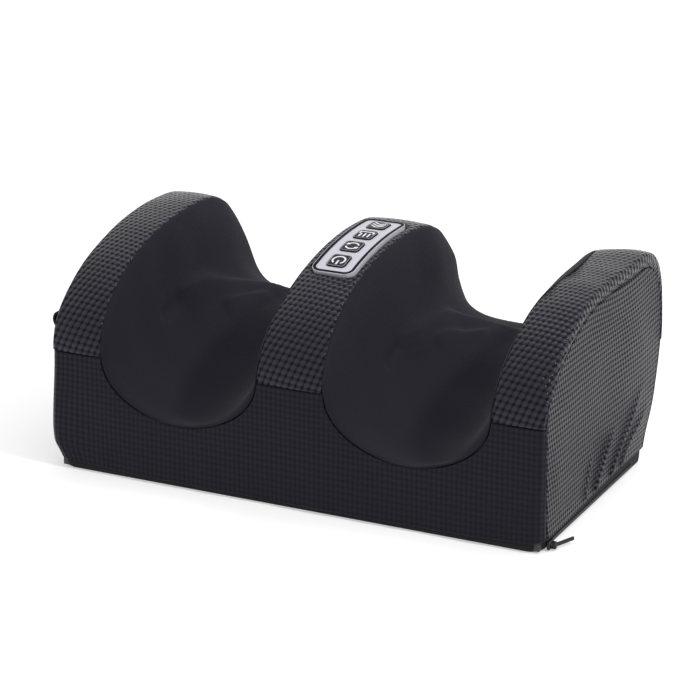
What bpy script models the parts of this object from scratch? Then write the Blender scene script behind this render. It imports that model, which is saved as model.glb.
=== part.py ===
"""Shiatsu foot massager: a zipped soft cover over a hard casing with two foot wells, three fins,
a control panel on the middle fin and a kneading gearbox under each well.

Metres, +Z up, the front edge faces -Y. The origin is the middle of the flat underside."""

import math

import bmesh
import bpy
import numpy as np
from mathutils import Matrix

# Overall body
WIDTH = 0.410
DEPTH = 0.230
FIN_HEIGHT = 0.181
SHOULDER_HEIGHT = 0.097
BACK_LEAN = 0.015
APEX_DEPTH_SHARE = 0.696
REAR_POWER = 3.0
GAP = 0.0003
OVERRUN = 0.010

# Soft cover
SKIN = 0.003
LINING = 0.002
SEAM_CLEARANCE = 0.0018
CROWN = 0.0015
CORNER_RADIUS = 0.005
ROLL_RADIUS = 0.014
PANEL_BOTTOM = 0.008
FOAM = 0.012

# Foot wells
WELL_CENTRE = 0.0955
WELL_REACH_FRONT = 0.067
WELL_REACH_TOP = 0.0705
FRONT_LIP = 0.052
CREST_HEIGHT = 0.108
CREST_DEPTH_SHARE = 0.783
BACK_LIP = 0.091
WELL_FRONT_POWER = 2.0
WELL_BACK_POWER = 3.0
WALL_TAPER_SHARE = 0.25
WALL_TAPER_POWER = 4
HEAD_LIFT = 0.0028
LIFT_REACH_X = 0.055
LIFT_REACH_Y = 0.040

# Base cloth, zip and sewn loop
BASE_CLOTH = 0.0015
TAPE_INSET = 0.0008
TAPE = 0.0014
SLIDER_LENGTH = 0.009
SLIDER_THICKNESS = 0.0025
SLIDER_SETBACK = 0.015
SLIDER_BEVEL = 0.0006
EAR_THICKNESS = 0.001
EAR_REACH = 0.0034
EAR_LENGTH = 0.003
PIN_RADIUS = 0.0006
PIN_REACH = 0.0021
EYE_CLEARANCE = 0.0003
EYE_WALL = 0.0008
PULL_LENGTH = 0.020
PULL_THICKNESS = 0.0012
PULL_REST_ANGLE = math.radians(22)
LOOP_HEIGHT = 0.014
LOOP_PROUD = 0.006
LOOP_WIDTH = 0.008
LOOP_WEB = 0.0018
LOOP_SETBACK = 0.012
LOOP_CENTRE_HEIGHT = 0.117

# Hard casing and base tray
WALL = 0.0025
CASING_SLACK = 0.0012
TRAY_HEIGHT = 0.030
HEAT_PAD = 0.0006
HEAT_PAD_SLACK = 0.0012
HEAT_PAD_REACH = 0.028
HEAT_PAD_START = 0.023
HEAT_PAD_LENGTH = 0.046
BOSS_RADIUS = 0.005
BOSS_HEIGHT = 0.022
CASE_SCREW_SHANK = 0.0013
CASE_SCREW_HEAD = 0.0032
CASE_SCREW_HEAD_HEIGHT = 0.0022
CASE_SCREW_SUNK = 0.0015
CASE_SCREW_BITE = 0.012
HOLE_CLEARANCE = 0.0004
RIB_THICKNESS = 0.002
RIB_HEIGHT = 0.012

# Kneading gearbox, in its own tilted frame
GEARBOX_DEPTH_SHARE = 0.565
DOME_TOP_SINK = 0.0003
DOME_HEIGHT = 0.0092
DOME_RADIUS = 0.0072
DOME_ORBIT = 0.0132
DOME_COUNT = 3
DISC_RADIUS = 0.0215
DISC_THICKNESS = 0.004
SHAFT_RADIUS = 0.004
JOURNAL_RADIUS = 0.003
JOURNAL_DEPTH = 0.0018
WHEEL_TEETH = 24
GEAR_MODULE = 0.0015
WHEEL_THICKNESS = 0.007
ADDENDUM = 0.0011
DEDENDUM = 0.0016
BACKLASH = 0.0004
PRESSURE_ANGLE = math.radians(20)
WORM_PITCH_RADIUS = 0.005
WORM_TURNS = 4
WORM_SHAFT_RADIUS = 0.0015
WHEEL_ROOM = 0.0012
WORM_ROOM = 0.0009
GEARBOX_WALL = 0.0025
GEARBOX_BLOCK_REACH = 0.013
SCREW_ORBIT = 0.0276
SCREW_LUG_RADIUS = 0.006
GEAR_SCREW_SHANK = 0.0013
GEAR_SCREW_HEAD = 0.0028
GEAR_SCREW_HEAD_HEIGHT = 0.002
GEAR_SCREW_BITE = 0.008
POST_RADIUS = 0.0055
MOTOR_RADIUS = 0.0122
MOTOR_LENGTH = 0.031
MOTOR_BOSS_RADIUS = 0.005
MOTOR_BOSS_LENGTH = 0.002
MOTOR_BORE_DEPTH = 0.010
MOTOR_BEVEL = 0.001

# Control panel, bent along the middle fin
PANEL_END = 0.005
PANEL_WIDTH = 0.036
PANEL_CORNER = 0.008
PANEL_PROUD = 0.002
PANEL_CENTRE_FROM_APEX = 0.040
PANEL_RIM = 0.0018
PANEL_GROOVE = 0.0008
PLATE_THICKNESS = 0.0022
PLATE_LEDGE = 0.0027
BOARD_LEDGE = 0.0015
BOARD_THICKNESS = 0.0016
BOARD_DEPTH = 0.0080
PANEL_FLOOR = 0.0018
KEY_COUNT = 4
KEY_PITCH = 0.0235
KEY_SPACING = 0.007
KEY_WIDTH = 0.0155
KEY_CORNER = 0.0028
KEY_PROUD = 0.0008
KEY_CLEARANCE = 0.0004
KEY_FLANGE = 0.0014
KEY_FLANGE_CORNER = 0.0034
KEY_FLANGE_THICKNESS = 0.0013
KEY_STEM = 0.0022
KEY_TRAVEL = 0.0008
SWITCH_REACH = 0.003

# Power inlet in the back
INLET_X = 0.150
INLET_HEIGHT = 0.019
INLET_RADIUS = 0.005
INLET_FLANGE_RADIUS = 0.007
INLET_FLANGE = 0.0015
INLET_LENGTH = 0.013
INLET_BORE_RADIUS = 0.0032
INLET_BORE_DEPTH = 0.009
INLET_PIN_RADIUS = 0.001

# Mesh steps
CURVE_SAMPLES = 400
FRONT_STEPS = 7
REAR_STEPS = 6
WELL_POINTS = 13
BAND_POINTS = 5
ROLL_STEPS = 4
CORNER_STEPS = 3
ROUND_SIDES = 20
SMALL_SIDES = 8
DOME_STEPS = 3
THREAD_STEPS = 8
PANEL_STEPS = 8
PLAN_STEPS = 40
SEAM_POINTS = 26
LUG_SHARES = (-0.98, -0.7, -0.25, 0.25, 0.7, 0.98)
MERGE_SHARE = 0.25

HALF_WIDTH = WIDTH / 2
HALF_DEPTH = DEPTH / 2
FRONT_Y = -HALF_DEPTH
APEX_Y = FRONT_Y + DEPTH * APEX_DEPTH_SHARE
CREST_Y = FRONT_Y + DEPTH * CREST_DEPTH_SHARE
GEARBOX_Y = FRONT_Y + DEPTH * GEARBOX_DEPTH_SHARE
FIN_RISE = FIN_HEIGHT - SHOULDER_HEIGHT
FIN_INSET = SKIN + FOAM + GAP + GAP
CASING_WELL_INSET = LINING + HEAT_PAD_SLACK + HEAT_PAD + HEAT_PAD_SLACK
CASING_HALF_WIDTH = HALF_WIDTH - SKIN - GAP
CASING_HALF_DEPTH = HALF_DEPTH - SKIN - GAP
TRAY_BOTTOM = BASE_CLOTH + GAP
KEY_LENGTH = KEY_PITCH - KEY_SPACING
PANEL_LENGTH = KEY_COUNT * KEY_PITCH + 2 * PANEL_END

# The gearbox's levels, measured down from the well's surface along the tilted axis
DISC_TOP = -DOME_TOP_SINK - DOME_HEIGHT
DISC_BOTTOM = DISC_TOP - DISC_THICKNESS
COVER_TOP = DISC_BOTTOM - GAP
CAVITY_TOP = COVER_TOP - GEARBOX_WALL
WHEEL_RADIUS = GEAR_MODULE * WHEEL_TEETH / 2
WORM_TIP = WORM_PITCH_RADIUS + ADDENDUM
WORM_ROOT = WORM_PITCH_RADIUS - DEDENDUM
AXLE_X = WHEEL_RADIUS + WORM_PITCH_RADIUS
WORM_LEVEL = CAVITY_TOP - WORM_TIP - WORM_ROOM
CAVITY_BOTTOM = WORM_LEVEL - WORM_TIP - WORM_ROOM
GEARBOX_BOTTOM = CAVITY_BOTTOM - GEARBOX_WALL
CAVITY_RADIUS = WHEEL_RADIUS + ADDENDUM + WHEEL_ROOM
GEARBOX_RADIUS = CAVITY_RADIUS + GEARBOX_WALL
SCREW_X = AXLE_X + SCREW_ORBIT / math.sqrt(2)
SCREW_Y = SCREW_ORBIT / math.sqrt(2)
LEAD = math.pi * GEAR_MODULE

COLOURS = {
    "leatherette": ((0.022, 0.022, 0.028), 0.42, 0.0),
    "knit": ((0.016, 0.016, 0.018), 0.92, 0.0),
    "foam": ((0.35, 0.35, 0.36), 0.95, 0.0),
    "zip": ((0.010, 0.010, 0.012), 0.75, 0.0),
    "zip_metal": ((0.04, 0.04, 0.045), 0.35, 0.9),
    "casing_plastic": ((0.05, 0.05, 0.055), 0.5, 0.0),
    "silver_plastic": ((0.62, 0.62, 0.66), 0.38, 0.0),
    "key_plastic": ((0.012, 0.012, 0.014), 0.35, 0.0),
    "board": ((0.03, 0.16, 0.07), 0.5, 0.0),
    "heat_film": ((0.45, 0.20, 0.06), 0.5, 0.0),
    "gearbox_plastic": ((0.55, 0.55, 0.52), 0.5, 0.0),
    "wheel_plastic": ((0.80, 0.78, 0.70), 0.45, 0.0),
    "head_rubber": ((0.30, 0.05, 0.04), 0.55, 0.0),
    "steel": ((0.55, 0.55, 0.56), 0.3, 1.0),
    "motor_steel": ((0.42, 0.42, 0.43), 0.35, 1.0),
}


def clear_scene():
    for obj in list(bpy.data.objects):
        bpy.data.objects.remove(obj)


def material(slot, name):
    """A Principled material of this finish for one piece."""
    colour, roughness, metallic = COLOURS[slot]
    made = bpy.data.materials.new(name)
    made.use_nodes = True
    shader = made.node_tree.nodes["Principled BSDF"]
    shader.inputs["Base Color"].default_value = (*colour, 1.0)
    shader.inputs["Roughness"].default_value = roughness
    shader.inputs["Metallic"].default_value = metallic
    made.diffuse_color = (*colour, 1.0)
    return made


def add_object(name, mesh, slot=None, parent=None, location=(0, 0, 0)):
    """Links a mesh as an object; with no finish it is a cutter or a shape to join."""
    obj = bpy.data.objects.new(name, mesh)
    bpy.context.scene.collection.objects.link(obj)
    obj.parent = parent
    obj.location = location
    if slot is None:
        obj.hide_render = True
        obj.display_type = "WIRE"
    else:
        mesh.materials.append(material(slot, name))
        mesh.shade_smooth()
        mesh.set_sharp_from_angle(angle=math.radians(35))
    return obj


def mesh_from(name, points, faces):
    """A mesh with its normals outwards and each face flat."""
    mesh = bpy.data.meshes.new(name)
    mesh.from_pydata([tuple(point) for point in points], [], faces)
    shaped = bmesh.new()
    shaped.from_mesh(mesh)
    bmesh.ops.recalc_face_normals(shaped, faces=shaped.faces)
    shaped.to_mesh(mesh)
    shaped.free()
    return mesh


def loft(name, rings, closed=False):
    """Skins a stack of closed outlines. An open stack gets end caps; a closed one joins end to start."""
    rings = np.asarray(rings, float)
    count, size = rings.shape[:2]
    faces = []
    for ring in range(count if closed else count - 1):
        after = (ring + 1) % count
        for point in range(size):
            beside = (point + 1) % size
            faces.append((ring * size + point, ring * size + beside, after * size + beside, after * size + point))
    if not closed:
        faces.append(tuple(range(size)))
        faces.append(tuple(range((count - 1) * size, count * size)))
    return mesh_from(name, rings.reshape(-1, 3), faces)


def turned(name, profile, sides=ROUND_SIDES):
    """A solid of revolution about Z from (radius, height) points; a radius of zero closes on the axis."""
    points, rows = [], []
    for radius, height in profile:
        if radius == 0:
            rows.append([len(points)] * sides)
            points.append((0, 0, height))
            continue
        rows.append(list(range(len(points), len(points) + sides)))
        for side in range(sides):
            angle = math.tau * side / sides
            points.append((radius * math.cos(angle), radius * math.sin(angle), height))
    faces = []
    for low, high in zip(rows, rows[1:]):
        for side in range(sides):
            after = (side + 1) % sides
            corners = (low[side], low[after], high[after], high[side])
            faces.append(tuple(dict.fromkeys(corners)))
    return mesh_from(name, points, faces)


def rod(name, radius, low, high, sides=SMALL_SIDES):
    return turned(name, [(0, low), (radius, low), (radius, high), (0, high)], sides)


def block(name, low, high):
    """A box between two corners."""
    (x0, y0, z0), (x1, y1, z1) = low, high
    rings = [[(x0, y0, z), (x1, y0, z), (x1, y1, z), (x0, y1, z)] for z in (z0, z1)]
    return loft(name, rings)


def boolean(obj, other, operation="DIFFERENCE"):
    step = obj.modifiers.new(other.name, "BOOLEAN")
    step.operation = operation
    step.solver = "EXACT"
    step.object = other


def smoothstep(value):
    share = np.clip(value, 0, 1)
    return share * share * (3 - 2 * share)


def lean(mesh):
    """Draws the back of the body in towards its base, in proportion to the depth and the height."""
    for vertex in mesh.vertices:
        low = np.clip(1 - vertex.co.z / SHOULDER_HEIGHT, 0, 1)
        back = np.clip(vertex.co.y / HALF_DEPTH, 0, 1)
        vertex.co.y -= BACK_LEAN * low * back
    return mesh


def fin_arc():
    """The fins' top line as (y, z, normal y, normal z, length): a quarter ellipse up from the front
    shoulder and a fuller quarter down to the back shoulder, at even steps of length."""
    turn = np.linspace(0, math.pi / 2, CURVE_SAMPLES)
    power = 2 / REAR_POWER
    front = (APEX_Y - (APEX_Y - FRONT_Y) * np.cos(turn), SHOULDER_HEIGHT + FIN_RISE * np.sin(turn))
    rear_y = APEX_Y + (HALF_DEPTH - APEX_Y) * np.sin(turn) ** power
    rear_z = SHOULDER_HEIGHT + FIN_RISE * np.abs(np.cos(turn)) ** power
    y = np.concatenate([front[0], rear_y[1:]])
    z = np.concatenate([front[1], rear_z[1:]])
    length = np.concatenate([[0], np.cumsum(np.hypot(np.diff(y), np.diff(z)))])
    even = np.linspace(0, length[-1], CURVE_SAMPLES)
    y, z = np.interp(even, length, y), np.interp(even, length, z)
    along_y, along_z = np.gradient(y), np.gradient(z)
    size = np.hypot(along_y, along_z)
    normal_y, normal_z = -along_z / size, along_y / size
    normal_y[0], normal_z[0] = -1, 0
    normal_y[-1], normal_z[-1] = 1, 0
    return y, z, normal_y, normal_z, even


ARC_Y, ARC_Z, ARC_NORMAL_Y, ARC_NORMAL_Z, ARC_LENGTH = fin_arc()
APEX_LENGTH = float(np.interp(APEX_Y, ARC_Y, ARC_LENGTH))


def arc_at(length):
    """(y, z, normal y, normal z) at a length along the fins' top line."""
    return tuple(float(np.interp(length, ARC_LENGTH, row)) for row in (ARC_Y, ARC_Z, ARC_NORMAL_Y, ARC_NORMAL_Z))


def arc_height(y, inset=0.0):
    """Height over a depth y of the fins' top line moved inwards by inset; level beyond its ends."""
    return float(np.interp(y, ARC_Y - inset * ARC_NORMAL_Y, ARC_Z - inset * ARC_NORMAL_Z))


def stations():
    """Lengths along the fins' top line where the sewn parts and the casing take their sections."""
    planes = [FRONT_Y + SKIN + GAP, FRONT_Y + FIN_INSET, HALF_DEPTH - FIN_INSET, HALF_DEPTH - SKIN - GAP]
    fixed = [float(np.interp(y, ARC_Y, ARC_LENGTH)) for y in planes]
    front = np.linspace(0, APEX_LENGTH, FRONT_STEPS + 1)
    rear = np.linspace(APEX_LENGTH, ARC_LENGTH[-1], REAR_STEPS + 1)[1:]
    least = MERGE_SHARE * rear[0] - MERGE_SHARE * APEX_LENGTH
    even = [s for s in (*front, *rear) if min(abs(s - other) for other in fixed) > least or s in (0, rear[-1])]
    return sorted([*even, *fixed])


STATIONS = stations()


def well_half_width(height):
    rise = smoothstep((height - SHOULDER_HEIGHT) / FIN_RISE)
    return float(WELL_REACH_FRONT + (WELL_REACH_TOP - WELL_REACH_FRONT) * rise)


def floor_height(y):
    """The well's floor along its middle: a smooth climb from the front lip to the crest, then down."""
    climb = smoothstep((y - FRONT_Y) / (CREST_Y - FRONT_Y))
    fall = np.clip((y - CREST_Y) / (HALF_DEPTH - CREST_Y), 0, 1)
    return float(FRONT_LIP + (CREST_HEIGHT - FRONT_LIP) * climb - (CREST_HEIGHT - BACK_LIP) * fall**2)


def head_lift(x, y):
    """How far the kneading heads push the lining up, at x from the well's middle."""
    across = 1 - np.clip(np.abs(x) / LIFT_REACH_X, 0, 1) ** 2
    along = 1 - np.clip(abs(y - GEARBOX_Y) / LIFT_REACH_Y, 0, 1) ** 2
    return HEAD_LIFT * across**2 * along**2


def well_section(y, inset, lifted=False):
    """Dense (x, z) of the well's section in the plane y, moved into the body by inset. The section is
    a superellipse that hangs from the fins' top line, drawn in below the rim towards the back."""
    share = float(smoothstep((y - FRONT_Y) / DEPTH))
    power = 2 / (WELL_FRONT_POWER + (WELL_BACK_POWER - WELL_FRONT_POWER) * share)
    rim = arc_height(y)
    turn = np.linspace(-math.pi / 2, math.pi / 2, CURVE_SAMPLES)
    across = np.sign(turn) * np.abs(np.sin(turn)) ** power
    down = np.abs(np.cos(turn)) ** power
    drawn = 1 - WALL_TAPER_SHARE * share * (1 - (1 - down) ** WALL_TAPER_POWER)
    x = well_half_width(rim) * across * drawn
    z = rim - (rim - floor_height(y)) * down
    if lifted:
        z = z + head_lift(x, y)
    length = np.concatenate([[0], np.cumsum(np.hypot(np.diff(x), np.diff(z)))])
    even = np.linspace(0, length[-1], CURVE_SAMPLES)
    x, z = np.interp(even, length, x), np.interp(even, length, z)
    along_x, along_z = np.gradient(x), np.gradient(z)
    size = np.hypot(along_x, along_z)
    return x + inset * along_z / size, z - inset * along_x / size


def even_points(x, z, count, level=None):
    """The section's points at even steps, from rim to rim or from the height level to the same."""
    length = np.concatenate([[0], np.cumsum(np.hypot(np.diff(x), np.diff(z)))])
    start = 0.0
    if level is not None:
        lowest = int(np.argmin(z)) + 1
        start = float(np.interp(level, z[:lowest][::-1], length[:lowest][::-1]))
    even = np.linspace(start, length[-1] - start, count)
    return np.interp(even, length, x), np.interp(even, length, z)


def rim_edge(height):
    """Half width of the well out to the back of its lining, with the seam's gap."""
    return well_half_width(height) + LINING + GAP


def roll_radius(height):
    """The outer shoulder's radius, tight at the front and back corners and full along the top."""
    return CORNER_RADIUS + (ROLL_RADIUS - CORNER_RADIUS) * float(smoothstep((height - SHOULDER_HEIGHT) / FIN_RISE))


def along_fin(x, lift, length):
    """World point at x, standing off the fins' top line by lift at this length along it."""
    y, z, normal_y, normal_z = arc_at(length)
    return (x, y + lift * normal_y, z + lift * normal_z)


def fin_span(side, height):
    """Inner and outer x of a fin's flat top between its seams; side is -1, 0 or 1."""
    edge = rim_edge(height)
    if side == 0:
        return -(WELL_CENTRE - edge), WELL_CENTRE - edge
    return side * (WELL_CENTRE + edge), side * (HALF_WIDTH - roll_radius(height))


def crowned(share):
    return CROWN * (1 - (2 * share - 1) ** 2)


def band_ring(side, length):
    """A fin band's section: a crowned flat and, on the outer fins, the roll down to the side panel."""
    height = arc_at(length)[1]
    start, end = fin_span(side, height)
    shares = np.linspace(0, 1, BAND_POINTS)
    upper = [(start + (end - start) * share, crowned(share)) for share in shares]
    under = [(x, lift - SKIN) for x, lift in upper]
    if side:
        radius = roll_radius(height)
        for step in range(1, ROLL_STEPS + 1):
            angle = math.pi / 2 * step / ROLL_STEPS
            lift = math.cos(angle)
            upper.append((end + side * radius * math.sin(angle), radius * lift - radius))
            under.append((end + side * (radius - SKIN) * math.sin(angle), (radius - SKIN) * lift - radius))
    return [along_fin(x, lift, length) for x, lift in upper + under[::-1]]


def foam_ring(side, length):
    height = arc_at(length)[1]
    start, end = fin_span(side, height)
    if side:
        end = side * (HALF_WIDTH - ROLL_RADIUS)
    top, low = -SKIN - GAP, -FIN_INSET + GAP
    outline = [(start, top), (end, top), (end, low), (start, low)]
    return [along_fin(x, lift, length) for x, lift in outline]


def make_fins():
    """The leatherette band along each fin and the foam under it."""
    pocket = panel_block("panel_pocket", KEY_CLEARANCE, -FIN_INSET - OVERRUN, OVERRUN)
    for side, name in ((-1, "left"), (0, "middle"), (1, "right")):
        band = lean(loft(f"{name}_fin_band", [band_ring(side, s) for s in STATIONS]))
        foam = lean(loft(f"{name}_fin_foam", [foam_ring(side, s) for s in STATIONS]))
        band = add_object(f"{name}_fin_band", band, "leatherette")
        foam = add_object(f"{name}_fin_foam", foam, "foam")
        if side == 0:
            boolean(band, pocket)
            boolean(foam, pocket)


def make_linings():
    """The knit lining of each well: a closed sheet between two offset well sections."""
    for side, name in ((-1, "left"), (1, "right")):
        rings = []
        for length in STATIONS:
            y = arc_at(length)[0]
            outer = even_points(*well_section(y, 0.0, lifted=True), WELL_POINTS)
            inner = even_points(*well_section(y, LINING, lifted=True), WELL_POINTS)
            x = np.concatenate([outer[0], inner[0][::-1]]) + side * WELL_CENTRE
            z = np.concatenate([outer[1], inner[1][::-1]])
            rings.append(np.stack([x, np.full(x.shape, y), z], axis=1))
        add_object(f"{name}_well_lining", lean(loft(f"{name}_well_lining", rings)), "knit")


def make_wrap_panel(name, facing):
    """The front or back panel: it wraps the two upright corners and is cut to the wells' seams."""
    outer, inner = [], []
    for side in (-1, 1):
        corner = []
        for step in range(CORNER_STEPS + 1):
            angle = math.pi / 2 * step / CORNER_STEPS
            x = HALF_WIDTH - CORNER_RADIUS + CORNER_RADIUS * math.cos(angle)
            y = HALF_DEPTH - CORNER_RADIUS + CORNER_RADIUS * math.sin(angle)
            corner.append((side * x, facing * y))
        outer += corner if side < 0 else corner[::-1]
    for side in (1, -1):
        ends = [(side * (HALF_WIDTH - SKIN), facing * (HALF_DEPTH - CORNER_RADIUS))]
        ends.append((side * (HALF_WIDTH - SKIN), facing * (HALF_DEPTH - SKIN)))
        inner += ends if side > 0 else ends[::-1]
    top = SHOULDER_HEIGHT - GAP
    rings = [[(x, y, z) for x, y in outer + inner] for z in (PANEL_BOTTOM, top)]
    panel = add_object(name, lean(loft(name, rings)), "leatherette")
    for side in (-1, 1):
        x, z = even_points(*well_section(facing * HALF_DEPTH, LINING + SEAM_CLEARANCE), SEAM_POINTS)
        x = np.concatenate([[x[0]], x, [x[-1]]]) + side * WELL_CENTRE
        z = np.concatenate([[SHOULDER_HEIGHT + OVERRUN], z, [SHOULDER_HEIGHT + OVERRUN]])
        planes = (facing * (HALF_DEPTH + OVERRUN), facing * (HALF_DEPTH - OVERRUN))
        rings = [[(px, y, pz) for px, pz in zip(x, z)] for y in planes]
        boolean(panel, add_object(f"{name}_cut_{side}", loft(f"{name}_cut", rings)))
    return panel


def make_side_panels():
    outline = [(HALF_DEPTH - CORNER_RADIUS - GAP, PANEL_BOTTOM), (FRONT_Y + CORNER_RADIUS + GAP, PANEL_BOTTOM)]
    for length in STATIONS:
        y, z, normal_y, normal_z = arc_at(length)
        inset = roll_radius(z) + GAP
        outline.append((y - inset * normal_y, z - inset * normal_z))
    for side, name in ((-1, "left_side_panel"), (1, "right_side_panel")):
        rings = [[(side * x, y, z) for y, z in outline] for x in (HALF_WIDTH - SKIN, HALF_WIDTH)]
        add_object(name, lean(loft(name, rings)), "leatherette")


def base_outline(inset):
    """Points round the base with rounded corners, moved in by inset."""
    radius = CORNER_RADIUS - inset
    points = []
    for quarter, (side, facing) in enumerate(((1, 1), (-1, 1), (-1, -1), (1, -1))):
        for step in range(CORNER_STEPS + 1):
            angle = math.pi / 2 * (quarter + step / CORNER_STEPS)
            x = side * (HALF_WIDTH - CORNER_RADIUS) + radius * math.cos(angle)
            points.append((x, facing * (HALF_DEPTH - CORNER_RADIUS) + radius * math.sin(angle)))
    return points


def make_base():
    """The base cloth and the zip tape that closes the cover round it."""
    outline = base_outline(TAPE_INSET)
    rings = [[(x, y, z) for x, y in outline] for z in (0, BASE_CLOTH)]
    add_object("base_cloth", lean(loft("base_cloth", rings)), "knit")
    low, high = BASE_CLOTH + GAP, PANEL_BOTTOM - GAP
    outer, inner = base_outline(TAPE_INSET), base_outline(TAPE_INSET + TAPE)
    rings = [[(*a, low), (*a, high), (*b, high), (*b, low)] for a, b in zip(outer, inner)]
    add_object("zip_tape", lean(loft("zip_tape", rings, closed=True)), "zip")


def make_zip_slider():
    """The slider on the right run of the zip and its pull tab on an upright pin."""
    face = HALF_WIDTH - TAPE_INSET + GAP
    low, high = EAR_THICKNESS, PANEL_BOTTOM - GAP - GAP
    middle = FRONT_Y + SLIDER_SETBACK
    half = SLIDER_LENGTH / 2
    body = block("zip_slider", (face, middle - half, low), (face + SLIDER_THICKNESS, middle + half, high))
    slider = add_object("zip_slider", body, "zip_metal")
    bevel = slider.modifiers.new("edges", "BEVEL")
    bevel.width = SLIDER_BEVEL
    bevel.segments = 1
    outer = face + SLIDER_THICKNESS
    ear_low, ear_high = low + SLIDER_BEVEL, high - SLIDER_BEVEL
    ear = EAR_LENGTH / 2
    for number, start in enumerate((ear_low, ear_high - EAR_THICKNESS)):
        shape = block("slider_ear", (outer - EAR_THICKNESS, middle - ear, start),
                      (outer + EAR_REACH, middle + ear, start + EAR_THICKNESS))
        boolean(slider, add_object(f"slider_ear_{number}", shape), "UNION")
    pin_place = (outer + PIN_REACH, middle, 0)
    pin_ends = ear_low + EAR_THICKNESS / 2, ear_high - EAR_THICKNESS / 2
    pin = add_object("slider_pin", rod("slider_pin", PIN_RADIUS, *pin_ends), location=pin_place)
    boolean(slider, pin, "UNION")

    eye_low, eye_high = ear_low + EAR_THICKNESS + GAP, ear_high - EAR_THICKNESS - GAP
    eye_radius = PIN_RADIUS + EYE_CLEARANCE + EYE_WALL
    pull = add_object("zip_pull_tab", rod("zip_pull_tab", eye_radius, eye_low, eye_high),
                      "zip_metal", location=pin_place)
    pull.rotation_euler = (0, 0, -PULL_REST_ANGLE)
    grip = block("pull_grip", (-PULL_THICKNESS / 2, PIN_RADIUS + EYE_CLEARANCE, eye_low),
                 (PULL_THICKNESS / 2, PULL_LENGTH, eye_high))
    boolean(pull, add_object("pull_grip", grip, parent=pull), "UNION")
    bore = rod("pull_bore", PIN_RADIUS + EYE_CLEARANCE, -OVERRUN, PANEL_BOTTOM + OVERRUN)
    boolean(pull, add_object("pull_bore", bore, parent=pull))


def make_side_loop():
    """A folded webbing loop on the left side, with its eye running front to back."""
    def bow(height, proud):
        points = []
        for step in range(2 * CORNER_STEPS + 1):
            angle = math.pi * step / (2 * CORNER_STEPS)
            points.append((-proud * math.sin(angle), height / 2 * math.cos(angle)))
        return points

    face = -HALF_WIDTH - GAP
    start = FRONT_Y + LOOP_SETBACK

    def extruded(name, outline, x, low, high):
        return loft(name, [[(x + px, y, LOOP_CENTRE_HEIGHT + pz) for px, pz in outline] for y in (low, high)])

    loop = add_object("side_loop", extruded("side_loop", bow(LOOP_HEIGHT, LOOP_PROUD), face, start,
                                            start + LOOP_WIDTH), "zip")
    eye = extruded("loop_eye", bow(LOOP_HEIGHT - 2 * LOOP_WEB, LOOP_PROUD - 2 * LOOP_WEB), face - LOOP_WEB,
                   start - OVERRUN, start + LOOP_WIDTH + OVERRUN)
    boolean(loop, add_object("loop_eye", eye))


def casing_ring(y, well_inset, half_width, top, bottom):
    """A section of the casing: up the left side, over the fins, round both wells and down the right. On
    the ledge at the back, the wells' floor is cut off level with the fins."""
    x, z = well_section(y, well_inset)
    if top - min(z) > FOAM:
        x, z = even_points(x, z, WELL_POINTS, level=top)
    else:
        across = np.linspace(-WELL_REACH_FRONT, WELL_REACH_FRONT, WELL_POINTS)
        x, z = across, np.minimum(np.interp(across, x, z), top)
    points = [(-half_width, y, bottom), (-half_width, y, top)]
    for side in (-1, 1):
        points += [(px + side * WELL_CENTRE, y, pz) for px, pz in zip(x, z)]
    return points + [(half_width, y, top), (half_width, y, bottom)]


def casing_shape(name, wall, bottom):
    """The casing's outside, or its inside when wall is its thickness."""
    half_depth = CASING_HALF_DEPTH - wall
    inset = FIN_INSET + wall
    depths = [arc_at(s)[0] for s in STATIONS]
    ends = [-half_depth, -HALF_DEPTH + inset, HALF_DEPTH - inset, half_depth]
    between = [y for y in depths if abs(y) < half_depth and min(abs(y - end) for end in ends) > GAP]
    rings = []
    for y in sorted([*between, *ends]):
        top = arc_height(y, inset) - CASING_SLACK - (wall if abs(y) >= HALF_DEPTH - inset else 0)
        rings.append(casing_ring(y, CASING_WELL_INSET + wall, CASING_HALF_WIDTH - wall, top, bottom))
    return lean(loft(name, rings))


def boss_places():
    """Middles of the four case screws, against the side walls."""
    x = CASING_HALF_WIDTH - WALL / 2 - BOSS_RADIUS
    front = -CASING_HALF_DEPTH + WALL + 2 * BOSS_RADIUS
    back = CASING_HALF_DEPTH - BACK_LEAN - WALL - 2 * BOSS_RADIUS
    return [(side * x, y) for side in (-1, 1) for y in (front, back)]


def gearbox_matrix(side):
    """The gearbox stands square to the well's slope, its origin on the slope's middle line."""
    rise = floor_height(GEARBOX_Y + GAP) - floor_height(GEARBOX_Y - GAP)
    tilt = math.atan2(rise, GAP + GAP)
    place = Matrix.Translation((side * WELL_CENTRE, GEARBOX_Y, floor_height(GEARBOX_Y)))
    return place @ Matrix.Rotation(tilt, 4, "X")


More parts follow.
